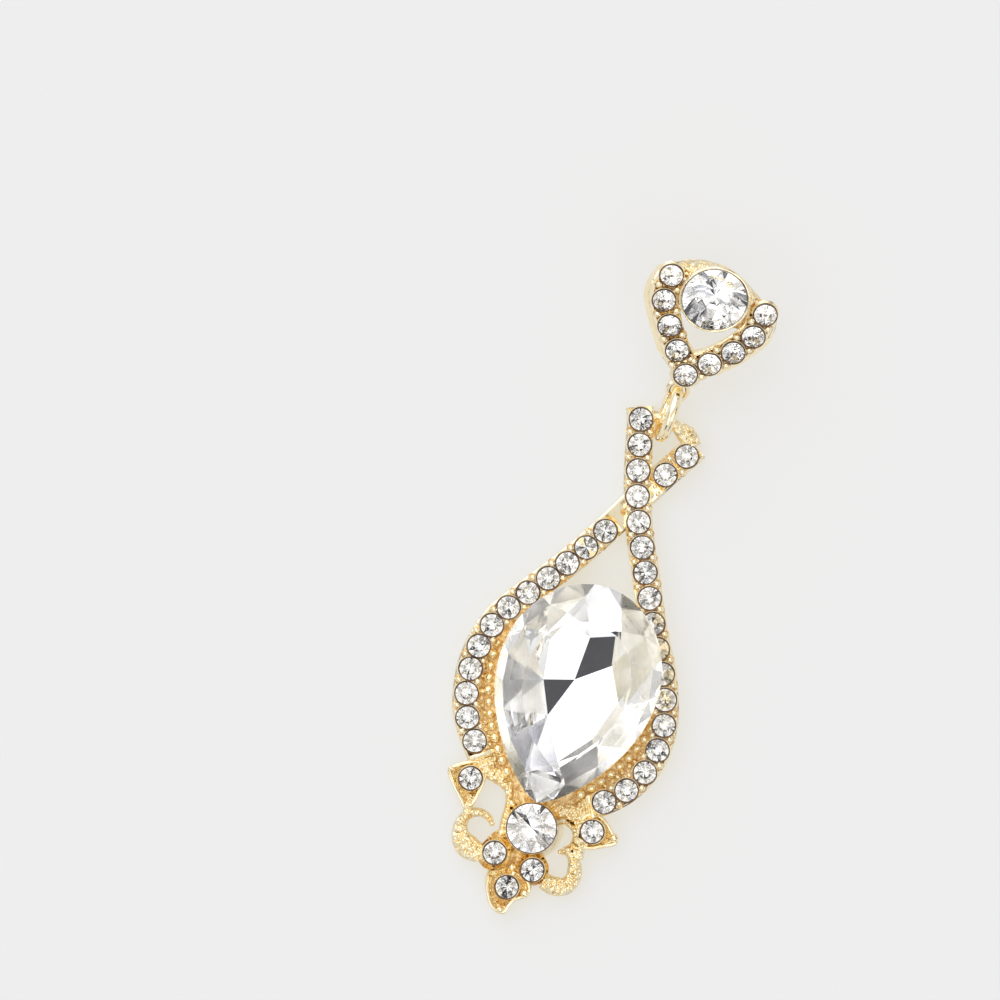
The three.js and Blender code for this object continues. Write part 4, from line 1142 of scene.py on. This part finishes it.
# Pear: rings of corners at a share of the outline's reach from the keel's middle, each with its
# share of the crown's or the pavilion's height and its turn. Below the table the facets meet in
# one point, whose place is in mm from the pear's tip;
# their outer corners, in mm right of and above the pear's tip, carry the large facets that show
# through the table, each with the foil behind it; the dark and lilac foils there are painted
# reflections. A patch gives its foil to the outer facets whose middles lie within its reach,
# painting there what they mirror.
pearCut = {
    "count": 16, "crown": [(0.66, 1.0, 0.0), (0.82, 0.62, 0.5)],
    "lower": [(0.84, 0.28, 0.5)], "point": (-0.22, 10.2),
    "facets": [
        (-0.13, 13.75, "darkFoil"), (1.75, 14.5, "darkFoil"), (2.22, 12.15, "brightFoil"),
        (3.6, 9.6, "brightFoil"), (2.6, 6.2, "brightFoil"), (0.55, 3.6, "lilacFoil"),
        (-1.35, 6.85, "darkFoil"), (-2.58, 9.45, "brightFoil"), (-3.1, 12.6, "brightFoil"),
        (-2.2, 14.6, "brightFoil")],
    "foils": {"paleFoil": 0.38, "brightFoil": 0.34, "creamFoil": 0.14, "sandFoil": 0.07,
              "greyFoil": 0.07},
    "patches": [
        (-1.1, 4.1, 1.1, "lilacFoil"), (-1.13, 5.55, 0.7, "sandFoil"),
        (-3.1, 9.95, 0.6, "violetFoil"), (-3.1, 8.35, 0.6, "brownFoil"),
        (-3.9, 3.9, 1.5, "sandFoil"), (-5.6, 7.6, 0.9, "sandFoil"),
        (-4.3, 8.95, 0.9, "greyFoil"), (-4.0, 6.35, 0.7, "darkFoil"),
        (-4.7, 14.6, 0.6, "greyFoil"), (-3.7, 16.3, 0.6, "greyFoil"), (3.7, 14.0, 0.7, "sandFoil"),
        (2.7, 15.0, 0.5, "greyFoil"), (5.5, 12.3, 0.7, "greyFoil"), (-2.9, 3.2, 1.5, "sandFoil"),
        (2.0, 1.4, 0.8, "greyFoil"), (3.7, 3.4, 0.7, "greyFoil"), (1.9, 4.3, 0.7, "greyFoil")],
}


def pearAt(degrees, share, level):
    line = pearOutline(0.0, 720)
    away = line - pearMiddle
    compass = np.degrees(np.arctan2(away[:, 0], away[:, 1])) % 360
    order = np.argsort(compass)
    at = np.asarray(degrees, float) % 360
    reach = np.interp(at, compass[order], np.linalg.norm(away[:, :2], axis=1)[order], period=360)
    turn = np.radians(at)
    return np.column_stack([pearMiddle[0] + share * reach * np.sin(turn),
                            pearMiddle[1] + share * reach * np.cos(turn), 0 * turn + level])


# Share of the way from the keel's middle to the outline for places inside it.
def pearShare(places):
    away = places - pearMiddle
    compass = np.degrees(np.arctan2(away[:, 0], away[:, 1]))
    edge = pearAt(compass, 1.0, 0.0) - pearMiddle
    return np.linalg.norm(away[:, :2], axis=1) / np.linalg.norm(edge[:, :2], axis=1)


# An even count of corners keeps one at the tip, which lies half a turn from the top.
def pearRing(share, level, phase, count):
    return pearAt((np.arange(count) + phase) * 360 / count, share, level)


def pearParts():
    count, band = pearCut["count"], pearPlan["girdle"]
    girdle = pearRing(1.0, pearLevel, 0.0, 3 * count)
    rings = [pearRing(share, pearLevel + band + pearPlan["crown"] * height, phase, count)
             for share, height, phase in pearCut["crown"]]
    rings += [girdle + [0, 0, band], girdle]
    clear = fan(rings[0].mean(axis=0), rings[0])
    for inner, outer in zip(rings[:-1], rings[1:]):
        clear += joinRings(inner, outer, pearMiddle)
    corners = np.array([(x, y, 0) for x, y, _ in pearCut["facets"]]) + pearTip
    depth = 1 - pearShare(corners)**2
    corners[:, 2] = pearLevel - pearPlan["pavilion"] * depth
    point = pearTip + [*pearCut["point"], pearLevel - pearPlan["pavilion"]]
    lower = [pearRing(share, pearLevel - pearPlan["pavilion"] * height, phase, count)
             for share, height, phase in pearCut["lower"]]
    outer = joinRings(corners, lower[0], pearMiddle) + joinRings(lower[0], girdle, pearMiddle)
    foils = [foil for _, _, foil in pearCut["facets"]]
    foiled = [([(point, corners[k], corners[(k + 1) % len(corners)])], foil)
              for k, foil in enumerate(foils)]
    outer = np.array(outer)
    middles = outer.mean(axis=1) - pearTip
    worn = np.full(len(outer), -1)
    for index, (x, y, reach, _) in enumerate(pearCut["patches"]):
        worn[np.hypot(middles[:, 0] - x, middles[:, 1] - y) < reach] = index
    foiled += shareFoils(outer[worn < 0], pearCut["foils"])
    foiled += [(outer[worn == index], pearCut["patches"][index][3]) for index in set(worn) - {-1}]
    return clear, foiled, pearMiddle + [0, 0, pearLevel - 0.6]


makeStone("pearStone", "pear_stone", *pearParts(), "large_crystal", dropPlace)
print("stones built")

# Plain pale floor, far wider than the view.
floorMesh = bpy.data.meshes.new("floor")
floorMesh.from_pydata([(-2, -2, 0), (2, -2, 0), (2, 2, 0), (-2, 2, 0)], [], [(0, 1, 2, 3)])
floor = bpy.data.objects.new("floor", floorMesh)
scene.collection.objects.link(floor)
# Part of the floor's brightness is its own, so that shadows stay faint and turn slightly warm.
floorLook = {"lit": (0.16, 0.22, 0.34), "own": (0.679, 0.613, 0.481)}
floorMesh.materials.append(newFinish("paleFloor", {
    "Base Color": (*floorLook["lit"], 1), "Emission Color": (*floorLook["own"], 1),
    "Emission Strength": 1.0, "Roughness": 0.9, "Specular IOR Level": 0.0})[0])

# Studio: a white dome with brighter and darker fields in it. Each field is a cone of directions
# whose edge fades over soft degrees. Through the crystals the camera's own place looks dimmer.
studio = {
    "seen": 0.855, "sun": 0.25, "sunAngle": 30, "sunTurn": (28, -24),
    "metal": {"dome": 0.78, "fields": [
        {"towards": (-0.55, 0.5, 0.7), "half": 30, "soft": 8, "light": 1.9},
        {"towards": (0.45, -0.25, 0.85), "half": 15, "soft": 5, "light": 1.7},
        {"towards": (0.85, 0.2, 0.5), "half": 10, "soft": 4, "light": 0.12},
        {"towards": (-0.3, -0.8, 0.55), "half": 11, "soft": 4, "light": 0.1},
        {"towards": (0.35, 0.9, 0.4), "half": 10, "soft": 4, "light": 0.15},
        {"towards": (-0.95, -0.1, 0.3), "half": 12, "soft": 5, "light": 0.5},
        {"towards": (0.7, -0.7, 0.2), "half": 12, "soft": 5, "light": 0.2},
    ]},
    "crystal": {"dome": 1.42, "fields": [
        {"towards": (-0.55, 0.5, 0.7), "half": 32, "soft": 8, "light": 1.9},
        {"towards": (0.85, 0.2, 0.5), "half": 8, "soft": 3, "light": 0.2},
        {"towards": (-0.3, -0.8, 0.55), "half": 8, "soft": 3, "light": 0.15},
        {"towards": (0.2, 0.9, 0.4), "half": 8, "soft": 3, "light": 0.3},
        {"towards": (0.0, 0.0, 1.0), "half": 2.5, "soft": 2, "light": 0.5},
    ]},
}


# Light by direction: each field takes over inside its cone, with a soft edge.
def domeLight(tree, where, look):
    light = look["dome"]
    for field in look["fields"]:
        dot = addNode(tree, "ShaderNodeVectorMath", operation="DOT_PRODUCT")
        tree.links.new(where.outputs["Generated"], dot.inputs[0])
        dot.inputs[1].default_value = unit(np.array(field["towards"], float))
        mask = addNode(tree, "ShaderNodeMapRange", {
            "From Min": math.cos(math.radians(field["half"] + field["soft"])),
            "From Max": math.cos(math.radians(field["half"]))}, interpolation_type="SMOOTHSTEP")
        tree.links.new(dot.outputs["Value"], mask.inputs["Value"])
        light = mixed(tree, mask.outputs["Result"], light, field["light"])
    return light


def mixed(tree, factor, first, second):
    blend = addNode(tree, "ShaderNodeMix")
    for key, value in (("Factor", factor), ("A", first), ("B", second)):
        if isinstance(value, bpy.types.NodeSocket):
            tree.links.new(value, blend.inputs[key])
        else:
            blend.inputs[key].default_value = value
    return blend.outputs["Result"]


# Metal mirrors a dome with more contrast than the one seen through the crystals.
def buildWorld():
    world = bpy.data.worlds.new("studio")
    scene.world = world
    world.use_nodes = True
    tree = world.node_tree
    tree.nodes.clear()
    where = addNode(tree, "ShaderNodeTexCoord")
    path = addNode(tree, "ShaderNodeLightPath")
    light = mixed(tree, path.outputs["Is Transmission Ray"], domeLight(tree, where, studio["metal"]),
                  domeLight(tree, where, studio["crystal"]))
    light = mixed(tree, path.outputs["Is Camera Ray"], light, studio["seen"])
    background = addNode(tree, "ShaderNodeBackground")
    tree.links.new(light, background.inputs["Color"])
    out = addNode(tree, "ShaderNodeOutputWorld")
    tree.links.new(background.outputs["Background"], out.inputs["Surface"])


buildWorld()
sunLamp = bpy.data.lights.new("softKey", "SUN")
sunLamp.energy = studio["sun"]
sunLamp.angle = math.radians(studio["sunAngle"])
sun = bpy.data.objects.new("softKey", sunLamp)
sun.rotation_euler = [math.radians(turn) for turn in (*studio["sunTurn"], 0)]
scene.collection.objects.link(sun)

# Camera: straight above the earring, turned so that the drop leans as it does on the table.
# Its aim is in mm from the round stone's middle.
cameraPlan = {"distance": 900.0, "width": 79.37, "aim": (-10.63, 23.89), "roll": 18.5}
cameraData = bpy.data.cameras.new("camera")
cameraData.sensor_width = 36.0
cameraData.lens = 36.0 * (cameraPlan["distance"] - 2) / cameraPlan["width"]
cameraData.clip_start = 0.05
camera = bpy.data.objects.new("camera", cameraData)
camera.location = np.append(roundSeat[0][:2] + cameraPlan["aim"], cameraPlan["distance"]) * mm
camera.rotation_euler = (0, 0, math.radians(cameraPlan["roll"]))
scene.collection.objects.link(camera)
scene.camera = camera
scene.view_settings.view_transform = "Standard"
scene.cycles.max_bounces = 16
scene.cycles.glossy_bounces = 10
scene.cycles.transmission_bounces = 12
print("studio and camera set")
